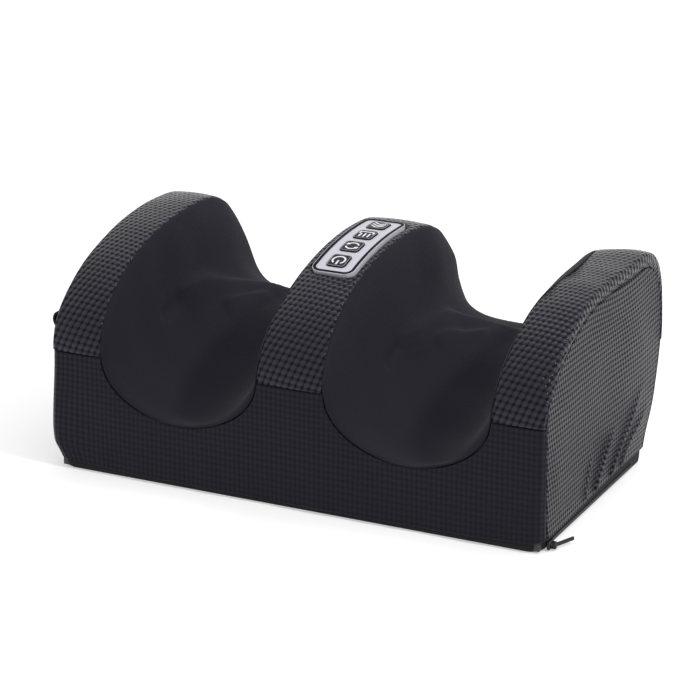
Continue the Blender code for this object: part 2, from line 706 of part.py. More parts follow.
def make_casing(frames):
    """The hard upper casing: hollow, open below, with a window under each well for the heads."""
    bottom = TRAY_HEIGHT + GAP
    casing = add_object("upper_casing", casing_shape("upper_casing", 0.0, bottom), "casing_plastic")
    boolean(casing, add_object("casing_hollow", casing_shape("casing_hollow", WALL, TRAY_HEIGHT - OVERRUN)))
    for number, (x, y) in enumerate(boss_places()):
        boss = rod("casing_boss", BOSS_RADIUS, bottom + GAP, bottom + BOSS_HEIGHT)
        boolean(casing, add_object(f"casing_boss_{number}", boss, location=(x, y, 0)), "UNION")
        pilot = rod("casing_pilot", CASE_SCREW_SHANK + GAP, TRAY_HEIGHT - OVERRUN, bottom + CASE_SCREW_BITE + GAP)
        boolean(casing, add_object(f"casing_pilot_{number}", pilot, location=(x, y, 0)))
    window = []
    for turn in range(ROUND_SIDES):
        angle = math.tau * (turn + 1 / 2) / ROUND_SIDES
        x = math.copysign(AXLE_X, math.cos(angle)) + (DISC_RADIUS + WHEEL_ROOM) * math.cos(angle)
        window.append((x, (DISC_RADIUS + WHEEL_ROOM) * math.sin(angle)))
    for name, frame in frames.items():
        cutter = loft("head_window", [[(x, y, z) for x, y in window] for z in (COVER_TOP, FIN_RISE)])
        boolean(casing, add_object(f"{name}_head_window", cutter, parent=frame))


def sheet_height(x, y, inset):
    """Height of the well's surface moved inwards by inset, flat between the stations as the lining is."""
    depths = [arc_at(s)[0] for s in STATIONS]
    after = int(np.searchsorted(depths, y, side="right"))
    before_y, after_y = depths[after - 1], depths[after]
    share = (y - before_y) / (after_y - before_y)
    before, behind = (np.interp(x, *well_section(depth, inset)) for depth in (before_y, after_y))
    return before + (behind - before) * share


def make_heat_pads():
    """A thin heating film on the front slope of each well, between the lining and the casing."""
    start, end = FRONT_Y + HEAT_PAD_START, FRONT_Y + HEAT_PAD_START + HEAT_PAD_LENGTH
    depths = [start, *(arc_at(s)[0] for s in STATIONS if start + GAP < arc_at(s)[0] < end - GAP), end]
    x = np.linspace(-HEAT_PAD_REACH, HEAT_PAD_REACH, BAND_POINTS + 2)
    for side, name in ((-1, "left"), (1, "right")):
        rings = []
        for y in depths:
            upper = sheet_height(x, y, LINING + HEAT_PAD_SLACK)
            under = sheet_height(x, y, LINING + HEAT_PAD_SLACK + HEAT_PAD)
            outline = [*zip(x, upper), *zip(x[::-1], under[::-1])]
            rings.append([(px + side * WELL_CENTRE, y, pz) for px, pz in outline])
        add_object(f"{name}_heat_pad", loft(f"{name}_heat_pad", rings), "heat_film")


def make_tray(frames):
    """The base tray with its screw bosses, its gearbox posts and two cross ribs."""
    def plan(inset, low, high):
        x, y = CASING_HALF_WIDTH - inset, CASING_HALF_DEPTH - inset
        return lean(block("tray_shape", (-x, -y, low), (x, y, high)))

    floor = TRAY_BOTTOM + WALL
    tray = add_object("base_tray", plan(0.0, TRAY_BOTTOM, TRAY_HEIGHT), "casing_plastic")
    boolean(tray, add_object("tray_hollow", plan(WALL, floor, TRAY_HEIGHT + OVERRUN)))
    middle = floor - WALL / 2
    for number, y in enumerate((GEARBOX_Y - HALF_DEPTH / 2, GEARBOX_Y + HALF_DEPTH / 2)):
        reach = CASING_HALF_WIDTH - WALL / 2
        rib = block("tray_rib", (-reach, y - RIB_THICKNESS / 2, middle), (reach, y + RIB_THICKNESS / 2, RIB_HEIGHT))
        boolean(tray, add_object(f"tray_rib_{number}", rib), "UNION")
    head_top = TRAY_BOTTOM + CASE_SCREW_SUNK + CASE_SCREW_HEAD_HEIGHT
    for number, (x, y) in enumerate(boss_places()):
        boss = rod("tray_boss", BOSS_RADIUS, middle, TRAY_HEIGHT)
        boolean(tray, add_object(f"tray_boss_{number}", boss, location=(x, y, 0)), "UNION")
        sink = CASE_SCREW_HEAD + HOLE_CLEARANCE
        shank = CASE_SCREW_SHANK + HOLE_CLEARANCE
        steps = [(0, TRAY_BOTTOM - OVERRUN), (sink, TRAY_BOTTOM - OVERRUN), (sink, head_top + GAP)]
        steps += [(shank, head_top + GAP), (shank, TRAY_HEIGHT + OVERRUN), (0, TRAY_HEIGHT + OVERRUN)]
        hole = turned("tray_screw_hole", steps, SMALL_SIDES)
        boolean(tray, add_object(f"tray_screw_hole_{number}", hole, location=(x, y, 0)))
        low = head_top - CASE_SCREW_HEAD_HEIGHT
        tip = TRAY_HEIGHT + GAP + CASE_SCREW_BITE
        steps = [(0, low), (CASE_SCREW_HEAD, low), (CASE_SCREW_HEAD, head_top), (CASE_SCREW_SHANK, head_top)]
        steps += [(CASE_SCREW_SHANK, tip - CASE_SCREW_SHANK), (0, tip)]
        screw = turned("case_screw", steps, SMALL_SIDES)
        add_object(f"case_screw_{number + 1}", screw, "steel", location=(x, y, 0))
    for name, frame in frames.items():
        for number, (x, y) in enumerate(screw_places()):
            foot = frame.matrix_basis @ Matrix.Translation((x, y, GEARBOX_BOTTOM - GAP))
            normal = foot.to_3x3().col[2]
            rings = [[], []]
            for side in range(SMALL_SIDES):
                angle = math.tau * side / SMALL_SIDES
                dx, dy = POST_RADIUS * math.cos(angle), POST_RADIUS * math.sin(angle)
                top = foot.translation.z - dy * normal.y / normal.z
                for ring, z in zip(rings, (middle, top)):
                    ring.append((foot.translation.x + dx, foot.translation.y + dy, z))
            boolean(tray, add_object(f"{name}_post_{number}", loft("gearbox_post", rings)), "UNION")
            pilot = rod("post_pilot", GEAR_SCREW_SHANK + GAP, GEARBOX_BOTTOM - GEAR_SCREW_BITE - GAP, 0)
            boolean(tray, add_object(f"{name}_pilot_{number}", pilot, parent=frame, location=(x, y, 0)))
    return tray


def screw_places():
    return [(sx * SCREW_X, sy * SCREW_Y) for sx in (-1, 1) for sy in (-1, 1)]


def disc_reach(angle, x, y, radius):
    """How far a ray from the middle goes until it leaves a disc; zero where it misses the disc."""
    along = x * math.cos(angle) + y * math.sin(angle)
    left = radius**2 - x**2 - y**2 + along**2
    return along + math.sqrt(left) if left > 0 and along > 0 else 0.0


def gearbox_body(name, frame, wall, low, high, slot=None):
    """The plan of the gearbox or of its cavity, raised between two levels: a drum round each worm wheel,
    a block round the worm and, with a wall, the four screw lugs."""
    radius = CAVITY_RADIUS + wall
    half = GEARBOX_BLOCK_REACH if wall else WORM_TIP + WORM_ROOM
    discs = [(-AXLE_X, 0, radius), (AXLE_X, 0, radius)]
    if wall:
        discs += [(x, y, SCREW_LUG_RADIUS) for x, y in screw_places()]
    even = [math.tau * (step + 1 / 2) / PLAN_STEPS for step in range(PLAN_STEPS)]
    lugs = [(math.atan2(y, x) % math.tau, math.asin(lug / math.hypot(x, y))) for x, y, lug in discs[2:]]
    angles = [angle for angle in even if all(abs(angle - middle) > fan for middle, fan in lugs)]
    angles += [middle + fan * share for middle, fan in lugs for share in LUG_SHARES]
    plan = []
    for angle in sorted(angles):
        across, along = abs(math.cos(angle)), abs(math.sin(angle))
        reach = max(min(half / across, radius / along), *(disc_reach(angle, *disc) for disc in discs))
        plan.append((reach * math.cos(angle), reach * math.sin(angle)))
    return add_object(name, loft(name, [[(x, y, z) for x, y in plan] for z in (low, high)]), slot, frame)


def make_gearbox(name, frame):
    """Base, cover and screws of one gearbox."""
    base = gearbox_body(f"{name}_gearbox_base", frame, GEARBOX_WALL, GEARBOX_BOTTOM, CAVITY_TOP - GAP,
                        "gearbox_plastic")
    cover = gearbox_body(f"{name}_gearbox_cover", frame, GEARBOX_WALL, CAVITY_TOP, COVER_TOP, "gearbox_plastic")
    tip = GEARBOX_BOTTOM - GEAR_SCREW_BITE
    for number, (x, y) in enumerate(screw_places()):
        steps = [(0, tip), (GEAR_SCREW_SHANK, tip + GEAR_SCREW_SHANK), (GEAR_SCREW_SHANK, COVER_TOP + GAP)]
        steps += [(GEAR_SCREW_HEAD, COVER_TOP + GAP), (GEAR_SCREW_HEAD, COVER_TOP + GAP + GEAR_SCREW_HEAD_HEIGHT)]
        steps.append((0, COVER_TOP + GAP + GEAR_SCREW_HEAD_HEIGHT))
        add_object(f"{name}_gearbox_screw_{number + 1}", turned("gearbox_screw", steps, SMALL_SIDES), "steel",
                   frame, (x, y, 0))
    boolean(base, gearbox_body(f"{name}_gear_cavity", frame, 0.0, CAVITY_BOTTOM, COVER_TOP))
    bore = rod("worm_bore", WORM_SHAFT_RADIUS + HOLE_CLEARANCE, -WORM_ROOM, GEARBOX_RADIUS + OVERRUN)
    bore = add_object(f"{name}_worm_bore", bore, None, frame, (0, 0, WORM_LEVEL))
    bore.rotation_euler = (math.pi / 2, 0, 0)
    boolean(base, bore)
    rear = rod("rear_bore", WORM_SHAFT_RADIUS + HOLE_CLEARANCE, -WORM_ROOM, CAVITY_RADIUS + GEARBOX_WALL / 2)
    rear = add_object(f"{name}_rear_bore", rear, None, frame, (0, 0, WORM_LEVEL))
    rear.rotation_euler = (-math.pi / 2, 0, 0)
    boolean(base, rear)
    for number, (x, y) in enumerate(screw_places()):
        for part in (base, cover):
            hole = rod("screw_hole", GEAR_SCREW_SHANK + HOLE_CLEARANCE, GEARBOX_BOTTOM - OVERRUN, 0)
            boolean(part, add_object(f"{part.name}_hole_{number}", hole, None, frame, (x, y, 0)))
    for side in (-1, 1):
        hole = rod("shaft_hole", SHAFT_RADIUS + HOLE_CLEARANCE, CAVITY_TOP - OVERRUN, 0, ROUND_SIDES)
        boolean(cover, add_object(f"{name}_shaft_hole_{side}", hole, None, frame, (side * AXLE_X, 0, 0)))
        seat = rod("journal_seat", JOURNAL_RADIUS + HOLE_CLEARANCE, CAVITY_BOTTOM - JOURNAL_DEPTH - GAP, WORM_LEVEL,
                   ROUND_SIDES)
        boolean(base, add_object(f"{name}_journal_seat_{side}", seat, None, frame, (side * AXLE_X, 0, 0)))


def wheel_outline():
    """A toothed outline with straight flanks, one tooth centred a quarter pitch past the X axis."""
    pitch = math.tau / WHEEL_TEETH
    half = (LEAD / 2 - BACKLASH) / 2
    root = (half + DEDENDUM * math.tan(PRESSURE_ANGLE)) / (WHEEL_RADIUS - DEDENDUM)
    tip = (half - ADDENDUM * math.tan(PRESSURE_ANGLE)) / (WHEEL_RADIUS + ADDENDUM)
    points = []
    for tooth in range(WHEEL_TEETH):
        middle = pitch * (tooth + 1 / 4)
        for radius, angle in ((WHEEL_RADIUS - DEDENDUM, middle - root), (WHEEL_RADIUS + ADDENDUM, middle - tip),
                              (WHEEL_RADIUS + ADDENDUM, middle + tip), (WHEEL_RADIUS - DEDENDUM, middle + root)):
            points.append((radius, angle))
    return points


def make_wheel(name, frame, side):
    """A worm wheel with slanted teeth, its shaft up to the head and its journal in the base."""
    lead_slope = LEAD / (math.tau * WORM_PITCH_RADIUS)
    rings = []
    for height in (-WHEEL_THICKNESS / 2, WHEEL_THICKNESS / 2):
        twist = height * lead_slope / WHEEL_RADIUS
        level = WORM_LEVEL + height
        rings.append([(r * math.cos(a + twist), r * math.sin(a + twist), level) for r, a in wheel_outline()])
    wheel = add_object(name, loft(name, rings), "wheel_plastic", frame, (side * AXLE_X, 0, 0))
    low = CAVITY_BOTTOM - JOURNAL_DEPTH
    hub = [CAVITY_BOTTOM + GAP, CAVITY_TOP - GAP]
    steps = [(0, low), (JOURNAL_RADIUS, low), (JOURNAL_RADIUS, hub[0]), (SHAFT_RADIUS + WALL, hub[0])]
    steps += [(SHAFT_RADIUS + WALL, hub[1]), (SHAFT_RADIUS, hub[1]), (SHAFT_RADIUS, DISC_TOP), (0, DISC_TOP)]
    axle = add_object(f"{name}_axle", turned("axle", steps, SMALL_SIDES), None, frame, (side * AXLE_X, 0, 0))
    boolean(wheel, axle, "UNION")


def make_head(name, frame, side):
    """A kneading head: a disc pressed on the wheel's shaft with rubber-like domes round it."""
    head = add_object(name, rod(name, DISC_RADIUS, DISC_BOTTOM, DISC_TOP, ROUND_SIDES), "head_rubber",
                      frame, (side * AXLE_X, 0, 0))
    straight = DOME_HEIGHT - DOME_RADIUS
    steps = [(0, DISC_BOTTOM + DISC_THICKNESS / 2), (DOME_RADIUS, DISC_BOTTOM + DISC_THICKNESS / 2)]
    for step in range(DOME_STEPS):
        angle = math.pi / 2 * step / DOME_STEPS
        steps.append((DOME_RADIUS * math.cos(angle), DISC_TOP + straight + DOME_RADIUS * math.sin(angle)))
    steps.append((0, DISC_TOP + DOME_HEIGHT))
    for number in range(DOME_COUNT):
        angle = math.tau * (number + 1 / 4) / DOME_COUNT
        place = (DOME_ORBIT * math.cos(angle), DOME_ORBIT * math.sin(angle), 0)
        dome = add_object(f"{name}_dome_{number}", turned("dome", steps, SMALL_SIDES), None, head, place)
        boolean(head, dome, "UNION")
    bore = rod("head_bore", SHAFT_RADIUS + GAP, DISC_BOTTOM - OVERRUN, OVERRUN, ROUND_SIDES)
    boolean(head, add_object(f"{name}_bore", bore, None, head))


def make_worm(name, frame):
    """The worm shaft along Y: a core with one right-hand thread, its ends in the motor and the base."""
    front = -GEARBOX_RADIUS - MOTOR_BORE_DEPTH + GAP
    back = CAVITY_RADIUS + GEARBOX_WALL / 2 - GAP
    half = LEAD * (WORM_TURNS + 1) / 2
    steps = [(0, front), (WORM_SHAFT_RADIUS, front), (WORM_SHAFT_RADIUS, -half), (WORM_ROOT, -half)]
    steps += [(WORM_ROOT, half), (WORM_SHAFT_RADIUS, half), (WORM_SHAFT_RADIUS, back), (0, back)]
    core = turned(name, steps, SMALL_SIDES)
    core.transform(Matrix.Rotation(-math.pi / 2, 4, "X"))
    worm = add_object(name, core, "steel", frame, (0, 0, WORM_LEVEL))
    flank = (LEAD / 2 - BACKLASH) / 2
    sunk = WORM_ROOT - WORM_SHAFT_RADIUS / 2
    wide = flank + (WORM_PITCH_RADIUS - sunk) * math.tan(PRESSURE_ANGLE)
    narrow = flank - ADDENDUM * math.tan(PRESSURE_ANGLE)
    outline = [(sunk, -wide), (WORM_TIP, -narrow), (WORM_TIP, narrow), (sunk, wide)]
    rings = []
    for step in range(WORM_TURNS * THREAD_STEPS + 1):
        angle = math.tau * (step / THREAD_STEPS - WORM_TURNS / 2)
        middle = LEAD * angle / math.tau
        rings.append([(r * math.sin(angle), middle + y, r * math.cos(angle)) for r, y in outline])
    thread = add_object(f"{name}_thread", loft("thread", rings), None, worm)
    boolean(worm, thread, "UNION")


def make_motor(name, frame):
    """A can motor screwed to the gearbox's front wall, bored for the end of the worm shaft."""
    face = GEARBOX_RADIUS + GAP
    steps = [(0, face), (MOTOR_RADIUS, face), (MOTOR_RADIUS, face + MOTOR_LENGTH - MOTOR_BEVEL)]
    steps += [(MOTOR_RADIUS - MOTOR_BEVEL, face + MOTOR_LENGTH), (MOTOR_BOSS_RADIUS, face + MOTOR_LENGTH)]
    end = face + MOTOR_LENGTH + MOTOR_BOSS_LENGTH
    steps += [(MOTOR_BOSS_RADIUS, end), (0, end)]
    motor = add_object(name, turned(name, steps), "motor_steel", frame, (0, 0, WORM_LEVEL))
    motor.rotation_euler = (math.pi / 2, 0, 0)
    bore = rod("motor_bore", WORM_SHAFT_RADIUS + HOLE_CLEARANCE, face - OVERRUN, face + MOTOR_BORE_DEPTH)
    boolean(motor, add_object(f"{name}_bore", bore, None, motor))


def panel_block(name, grow, low, high, centre=0.0, length=PANEL_LENGTH, width=PANEL_WIDTH, corner=PANEL_CORNER,
                slot=None):
    """A rounded block bent along the middle fin, grown all round, between two heights over the fin."""
    half_length, half_width = length / 2 + grow, width / 2 + grow
    radius = max(corner + grow, GAP)
    straight = half_length - radius
    quarter = [math.pi / 2 * step / CORNER_STEPS for step in range(CORNER_STEPS + 1)]
    places = [(-straight - radius * math.cos(a), half_width - radius + radius * math.sin(a)) for a in quarter]
    steps = max(1, round(straight * PANEL_STEPS / half_length))
    places += [(-straight + 2 * straight * step / steps, half_width) for step in range(1, steps)]
    places += [(straight + radius * math.sin(a), half_width - radius + radius * math.cos(a)) for a in quarter]
    start = APEX_LENGTH - PANEL_CENTRE_FROM_APEX + centre
    rings = []
    for along, half in places:
        corners = [(-half, low), (-half, high), (half, high), (half, low)]
        rings.append([along_fin(x, lift, start + along) for x, lift in corners])
    return add_object(name, loft(name, rings), slot)


def key_offset(number):
    return (number - (KEY_COUNT - 1) / 2) * KEY_PITCH


def make_control_panel():
    """The silver housing and plate with its keys, and the board under them."""
    ledge = PANEL_PROUD - PLATE_THICKNESS - GAP - GAP
    board_top = ledge - BOARD_DEPTH
    board_low = board_top - BOARD_THICKNESS
    housing = panel_block("panel_housing", 0.0, -FIN_INSET + GAP, PANEL_PROUD, slot="silver_plastic")
    inner = PANEL_RIM + PANEL_GROOVE + PLATE_LEDGE
    wide = panel_block("panel_rebate", -PANEL_RIM, ledge, OVERRUN)
    deep = panel_block("panel_well", -inner, board_low - GAP, OVERRUN)
    sump = panel_block("panel_sump", -inner - BOARD_LEDGE, -FIN_INSET + GAP + PANEL_FLOOR, OVERRUN)
    for cutter in (wide, deep, sump):
        boolean(housing, cutter)
    plate = panel_block("panel_plate", -PANEL_RIM - PANEL_GROOVE, ledge + GAP, ledge + GAP + PLATE_THICKNESS,
                        slot="silver_plastic")
    board = panel_block("control_board", -inner - HOLE_CLEARANCE, board_low, board_top, slot="board")
    key_size = {"length": KEY_LENGTH, "width": KEY_WIDTH, "corner": KEY_CORNER}
    flange_size = {**key_size, "corner": KEY_FLANGE_CORNER}
    flange_top = ledge + GAP - KEY_CLEARANCE
    stem_low = flange_top - KEY_FLANGE_THICKNESS - KEY_STEM
    switch_top = stem_low - KEY_TRAVEL - GAP
    stem = {"length": SWITCH_REACH + SWITCH_REACH, "width": SWITCH_REACH + SWITCH_REACH, "corner": 0.0}
    for number, name in enumerate(("power_key", "direction_key", "heat_key", "speed_key")):
        centre = key_offset(number)
        key = panel_block(name, 0.0, flange_top - GAP, PANEL_PROUD + KEY_PROUD, centre, **key_size,
                          slot="key_plastic")
        flange = panel_block(f"{name}_flange", KEY_FLANGE, flange_top - KEY_FLANGE_THICKNESS, flange_top, centre,
                             **flange_size)
        post = panel_block(f"{name}_stem", 0.0, stem_low, flange_top - GAP - GAP, centre, **stem)
        boolean(key, flange, "UNION")
        boolean(key, post, "UNION")
        boolean(plate, panel_block(f"{name}_hole", KEY_CLEARANCE, ledge - OVERRUN, OVERRUN, centre, **key_size))
        switch = panel_block(f"{name}_switch", 0.0, board_low + GAP, switch_top, centre, **stem)
        boolean(board, switch, "UNION")


def make_power_inlet(tray, back_panel):
    """A round socket square to the leaning back panel, through the panel and the tray wall."""
    slope = math.atan2(BACK_LEAN, SHOULDER_HEIGHT)
    depth = HALF_DEPTH - BACK_LEAN * (1 - INLET_HEIGHT / SHOULDER_HEIGHT)
    frame = bpy.data.objects.new("inlet_frame", None)
    bpy.context.scene.collection.objects.link(frame)
    frame.location = (INLET_X, depth, INLET_HEIGHT)
    frame.rotation_euler = (-math.pi / 2 - slope, 0, 0)
    low = GAP - INLET_LENGTH
    steps = [(0, low), (INLET_RADIUS, low), (INLET_RADIUS, GAP), (INLET_FLANGE_RADIUS, GAP)]
    steps += [(INLET_FLANGE_RADIUS, GAP + INLET_FLANGE), (0, GAP + INLET_FLANGE)]
    inlet = add_object("power_inlet", turned("power_inlet", steps), "key_plastic", frame)
    mouth = GAP + INLET_FLANGE
    bore = rod("inlet_bore", INLET_BORE_RADIUS, mouth - INLET_BORE_DEPTH, mouth + OVERRUN, ROUND_SIDES)
    boolean(inlet, add_object("inlet_bore", bore, None, frame))
    pin = rod("inlet_pin", INLET_PIN_RADIUS, mouth - INLET_BORE_DEPTH - INLET_FLANGE, mouth - INLET_FLANGE)
    boolean(inlet, add_object("inlet_pin", pin, None, frame), "UNION")
    hole = rod("inlet_hole", INLET_RADIUS + HOLE_CLEARANCE, low - OVERRUN, OVERRUN, ROUND_SIDES)
    hole = add_object("inlet_hole", hole, None, frame)
    boolean(tray, hole)
    boolean(back_panel, hole)


def gearbox_frames():
    frames = {}
    for side, name in ((-1, "left"), (1, "right")):
        frame = bpy.data.objects.new(f"{name}_gearbox_frame", None)
        bpy.context.scene.collection.objects.link(frame)
        frame.matrix_basis = gearbox_matrix(side)
        frames[name] = frame
    return frames


def main():
    clear_scene()
    frames = gearbox_frames()
    make_fins()
    make_linings()
    make_wrap_panel("front_panel", -1)
    back_panel = make_wrap_panel("back_panel", 1)
    make_side_panels()
    make_base()
    make_zip_slider()
    make_side_loop()
    make_casing(frames)
    make_heat_pads()
    tray = make_tray(frames)
    make_control_panel()
    make_power_inlet(tray, back_panel)
    for name, frame in frames.items():
        make_gearbox(name, frame)
        make_motor(f"{name}_motor", frame)
        make_worm(f"{name}_worm_shaft", frame)
        inward = 1 if name == "left" else -1
        for place, side in (("inner", inward), ("outer", -inward)):
            make_wheel(f"{name}_{place}_worm_wheel", frame, side)
            make_head(f"{name}_{place}_kneading_head", frame, side)


main()
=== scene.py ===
import math

import bpy
import numpy as np
from mathutils import Matrix, Vector


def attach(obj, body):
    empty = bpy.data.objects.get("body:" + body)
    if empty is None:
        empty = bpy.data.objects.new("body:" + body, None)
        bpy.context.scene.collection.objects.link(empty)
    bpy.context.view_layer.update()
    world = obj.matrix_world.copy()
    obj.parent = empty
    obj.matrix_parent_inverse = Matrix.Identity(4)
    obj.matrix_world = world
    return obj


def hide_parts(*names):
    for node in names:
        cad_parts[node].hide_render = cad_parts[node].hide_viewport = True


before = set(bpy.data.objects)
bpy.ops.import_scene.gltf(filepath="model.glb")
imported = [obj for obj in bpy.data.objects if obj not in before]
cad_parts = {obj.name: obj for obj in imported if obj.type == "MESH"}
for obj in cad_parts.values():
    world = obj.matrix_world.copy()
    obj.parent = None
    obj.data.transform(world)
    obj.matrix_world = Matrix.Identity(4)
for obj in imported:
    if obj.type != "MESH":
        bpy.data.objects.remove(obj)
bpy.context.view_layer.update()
print("frame loaded with", len(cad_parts), "nodes")

# the body's form, in metres, as the casing under the cover has it
bodyForm = {"width": 0.410, "depth": 0.230, "finHeight": 0.181, "shoulder": 0.097, "lean": 0.015,
            "apexShare": 0.696, "rearPower": 3.0, "rollTop": 0.0095, "rollEnd": 0.005, "hem": 0.008,
            "cornerTop": 0.005, "cornerFoot": 0.011, "cornerPower": 1.5}
wellForm = {"centre": 0.0955, "halfFront": 0.067, "halfTop": 0.0705, "frontLip": 0.052, "crest": 0.108,
            "crestShare": 0.783, "backLip": 0.091, "frontPower": 2.0, "backPower": 3.35, "taper": 0.21,
            "taperPower": 4}

halfWidth = bodyForm["width"] / 2
halfDepth = bodyForm["depth"] / 2
frontY = -halfDepth
apexY = frontY + bodyForm["depth"] * bodyForm["apexShare"]
crestY = frontY + bodyForm["depth"] * wellForm["crestShare"]
finRise = bodyForm["finHeight"] - bodyForm["shoulder"]
finSpan = (bodyForm["shoulder"], finRise)
sideNames = ((-1, "left"), (1, "right"))


# shape functions

def smooth(value):
    # a cubic ease from 0 to 1
    share = np.clip(value, 0, 1)
    return share * share * (3 - 2 * share)


def bump(value):
    # a bell of height 1 that is gone beyond 1 either way
    return np.clip(1 - value * value, 0, 1) ** 2


def ease(value, span):
    # the cubic ease from a start over a length
    start, length = span
    return smooth((value - start) / length)


def bell(value, span):
    # the bell round a middle, gone beyond its reach
    middle, reach = span
    return bump((value - middle) / reach)


def ripple(a, b, scale, seed):
    # slow unevenness from -1 to 1: five sines in seeded directions over the two lengths
    random = np.random.default_rng(seed)
    turns = random.uniform(0, math.tau, 5)
    phases = random.uniform(0, math.tau, 5)
    sizes = random.uniform(0.7, 1.6, 5)
    total = np.zeros(np.broadcast(a, b).shape)
    for turn, phase, size in zip(turns, phases, sizes):
        length = a * math.cos(turn) + b * math.sin(turn)
        total = total + np.sin(length * math.tau / (scale * size) + phase)
    return total / 3


# where the stuffed cover stands off the casing: how far, and beside it the start and length of each ease,
# or the middle and reach of each bell, that brings it in
stuffing = {"side": (0.168, 0.032),
            "back": 0.0100, "backDeep": (0.010, 0.095), "backHigh": (0.012, 0.080), "backLeast": 0.35,
            "out": 0.0030, "outDeep": (-0.03, 0.10), "outHigh": (0.004, 0.05),
            "sag": 0.0046, "sagWide": (0.150, 0.016), "sagDeep": (0.035, 0.075), "sagHigh": (0.120, 0.04),
            "left": 0.0020, "leftHigh": (0.004, 0.03), "leftDown": (-0.17, 0.05),
            "middle": 0.0036, "middleDeep": (0.035, 0.040), "middleHigh": (0.125, 0.025),
            "middleWide": (0.032, 0.028),
            "foot": 0.0055, "footRise": (0.006, 0.016), "footFade": (0.020, 0.080)}
hemLook = {"front": 0.0040, "frontNear": (0.80, 0.12), "frontPower": 4, "behind": 0.0036,
           "behindDeep": (-0.095, 0.150), "rise": (0.0016, 0.0062), "fade": (0.0094, 0.050)}
# over the right fin the lining is drawn up onto the top, and the band's seam lies that much further out
overlapLook = {"shift": 0.0056, "along": (0.022, 0.082), "drawn": 0.0065, "rise": 0.0052, "settle": 0.72}


def fitted(points):
    # the back draws in towards the base, in proportion to depth and to the drop below the shoulder; then
    # each swell of the stuffing is its distance times its eases and bells: backwards and outwards on the
    # right, a sag of the right fin's top, outwards on the left, the middle fin's back, and the left foot
    stuff = stuffing
    x, y, z = points[..., 0], points[..., 1], points[..., 2]
    low = np.clip(1 - z / bodyForm["shoulder"], 0, 1)
    deep = np.clip(y / halfDepth, 0, 1)
    right, left = ease(x, stuff["side"]), ease(-x, stuff["side"])
    high = stuff["backLeast"] + (1 - stuff["backLeast"]) * ease(z, stuff["backHigh"])
    sagging = ease(x, stuff["sagWide"]) * bell(y, stuff["sagDeep"]) * ease(z, stuff["sagHigh"])
    behind = ease(y, stuff["middleDeep"]) * ease(z, stuff["middleHigh"])
    foot = ease(z, stuff["footRise"]) * (1 - ease(z, stuff["footFade"]))
    moved = points.copy()
    moved[..., 1] -= bodyForm["lean"] * low * deep
    moved[..., 1] += stuff["back"] * right * ease(y, stuff["backDeep"]) * high
    moved[..., 0] += stuff["out"] * right * ease(y, stuff["outDeep"]) * ease(z, stuff["outHigh"])
    moved[..., 2] -= stuff["sag"] * sagging
    moved[..., 0] -= stuff["left"] * left * ease(z, stuff["leftHigh"]) * ease(-z, stuff["leftDown"])
    moved[..., 0] += stuff["middle"] * behind * bell(x, stuff["middleWide"])
    moved[..., 0] -= stuff["foot"] * foot * left
    return moved


def hemmed(points):
    # the foot of the cover: the hem hangs lower along the middle of the front, and rides higher up the zip
    # tape along the sides and the back; the shift fades out up the panel and down towards the floor
    look = hemLook
    x, y, z = points[..., 0], points[..., 1], points[..., 2]
    inward = 1 - np.clip(np.abs(x) / halfWidth, 0, 1) ** look["frontPower"]
    front = ease(-y / halfDepth, look["frontNear"]) * inward
    share = ease(z, look["rise"]) * (1 - ease(z, look["fade"]))
    moved = points.copy()
    moved[..., 2] += share * (look["behind"] * ease(y, look["behindDeep"]) - look["front"] * front)
    return moved


def drawnOver(y):
    # how far the right fin's inner seam lies out from the well's edge: a bell along the fin
    return overlapLook["shift"] * bell(y, overlapLook["along"])


def finLine(samples=2400):
    # the fins' top line: a quarter ellipse up from the front shoulder, then a fuller quarter down the back
    turn = np.linspace(0, math.pi / 2, samples)
    power = 2 / bodyForm["rearPower"]
    y = np.concatenate([apexY - (apexY - frontY) * np.cos(turn),
                        (apexY + (halfDepth - apexY) * np.sin(turn) ** power)[1:]])
    z = np.concatenate([bodyForm["shoulder"] + finRise * np.sin(turn),
                        (bodyForm["shoulder"] + finRise * np.abs(np.cos(turn)) ** power)[1:]])
    run = np.concatenate([[0], np.cumsum(np.hypot(np.diff(y), np.diff(z)))])
    even = np.linspace(0, run[-1], samples)
    y, z = np.interp(even, run, y), np.interp(even, run, z)
    alongY, alongZ = np.gradient(y), np.gradient(z)
    size = np.hypot(alongY, alongZ)
    normalY, normalZ = -alongZ / size, alongY / size
    normalY[0], normalZ[0], normalY[-1], normalZ[-1] = -1, 0, 1, 0
    return {"y": y, "z": z, "ny": normalY, "nz": normalZ, "run": even}


fin = finLine()
finLength = float(fin["run"][-1])
apexRun = float(np.interp(apexY, fin["y"], fin["run"]))


def onFin(run, key):
    # one measure of the fins' top line at this length along it
    return np.interp(run, fin["run"], fin[key])


def overFin(x, lift, run):
    # the point at x, standing off the fins' top line by lift at this length along it
    x, lift, run = np.broadcast_arrays(x, lift, run)
    y = onFin(run, "y") + lift * onFin(run, "ny")
    z = onFin(run, "z") + lift * onFin(run, "nz")
    return np.stack([x, y, z], axis=-1)


def wellHalf(height):
    # half the well's width, easing from the front's to the top's as the fin climbs
    return wellForm["halfFront"] + (wellForm["halfTop"] - wellForm["halfFront"]) * ease(height, finSpan)


def rollRadius(height):
    # how deep the outer shoulder rolls over, easing from the ends' radius to the top's as the fin climbs
    return bodyForm["rollEnd"] + (bodyForm["rollTop"] - bodyForm["rollEnd"]) * ease(height, finSpan)


def cornerRadius(height):
    # the body's upright corners: wider towards the foot, by a power of the drop below the shoulder
    share = np.clip(1 - height / bodyForm["shoulder"], 0, 1) ** bodyForm["cornerPower"]
    return bodyForm["cornerTop"] + (bodyForm["cornerFoot"] - bodyForm["cornerTop"]) * share


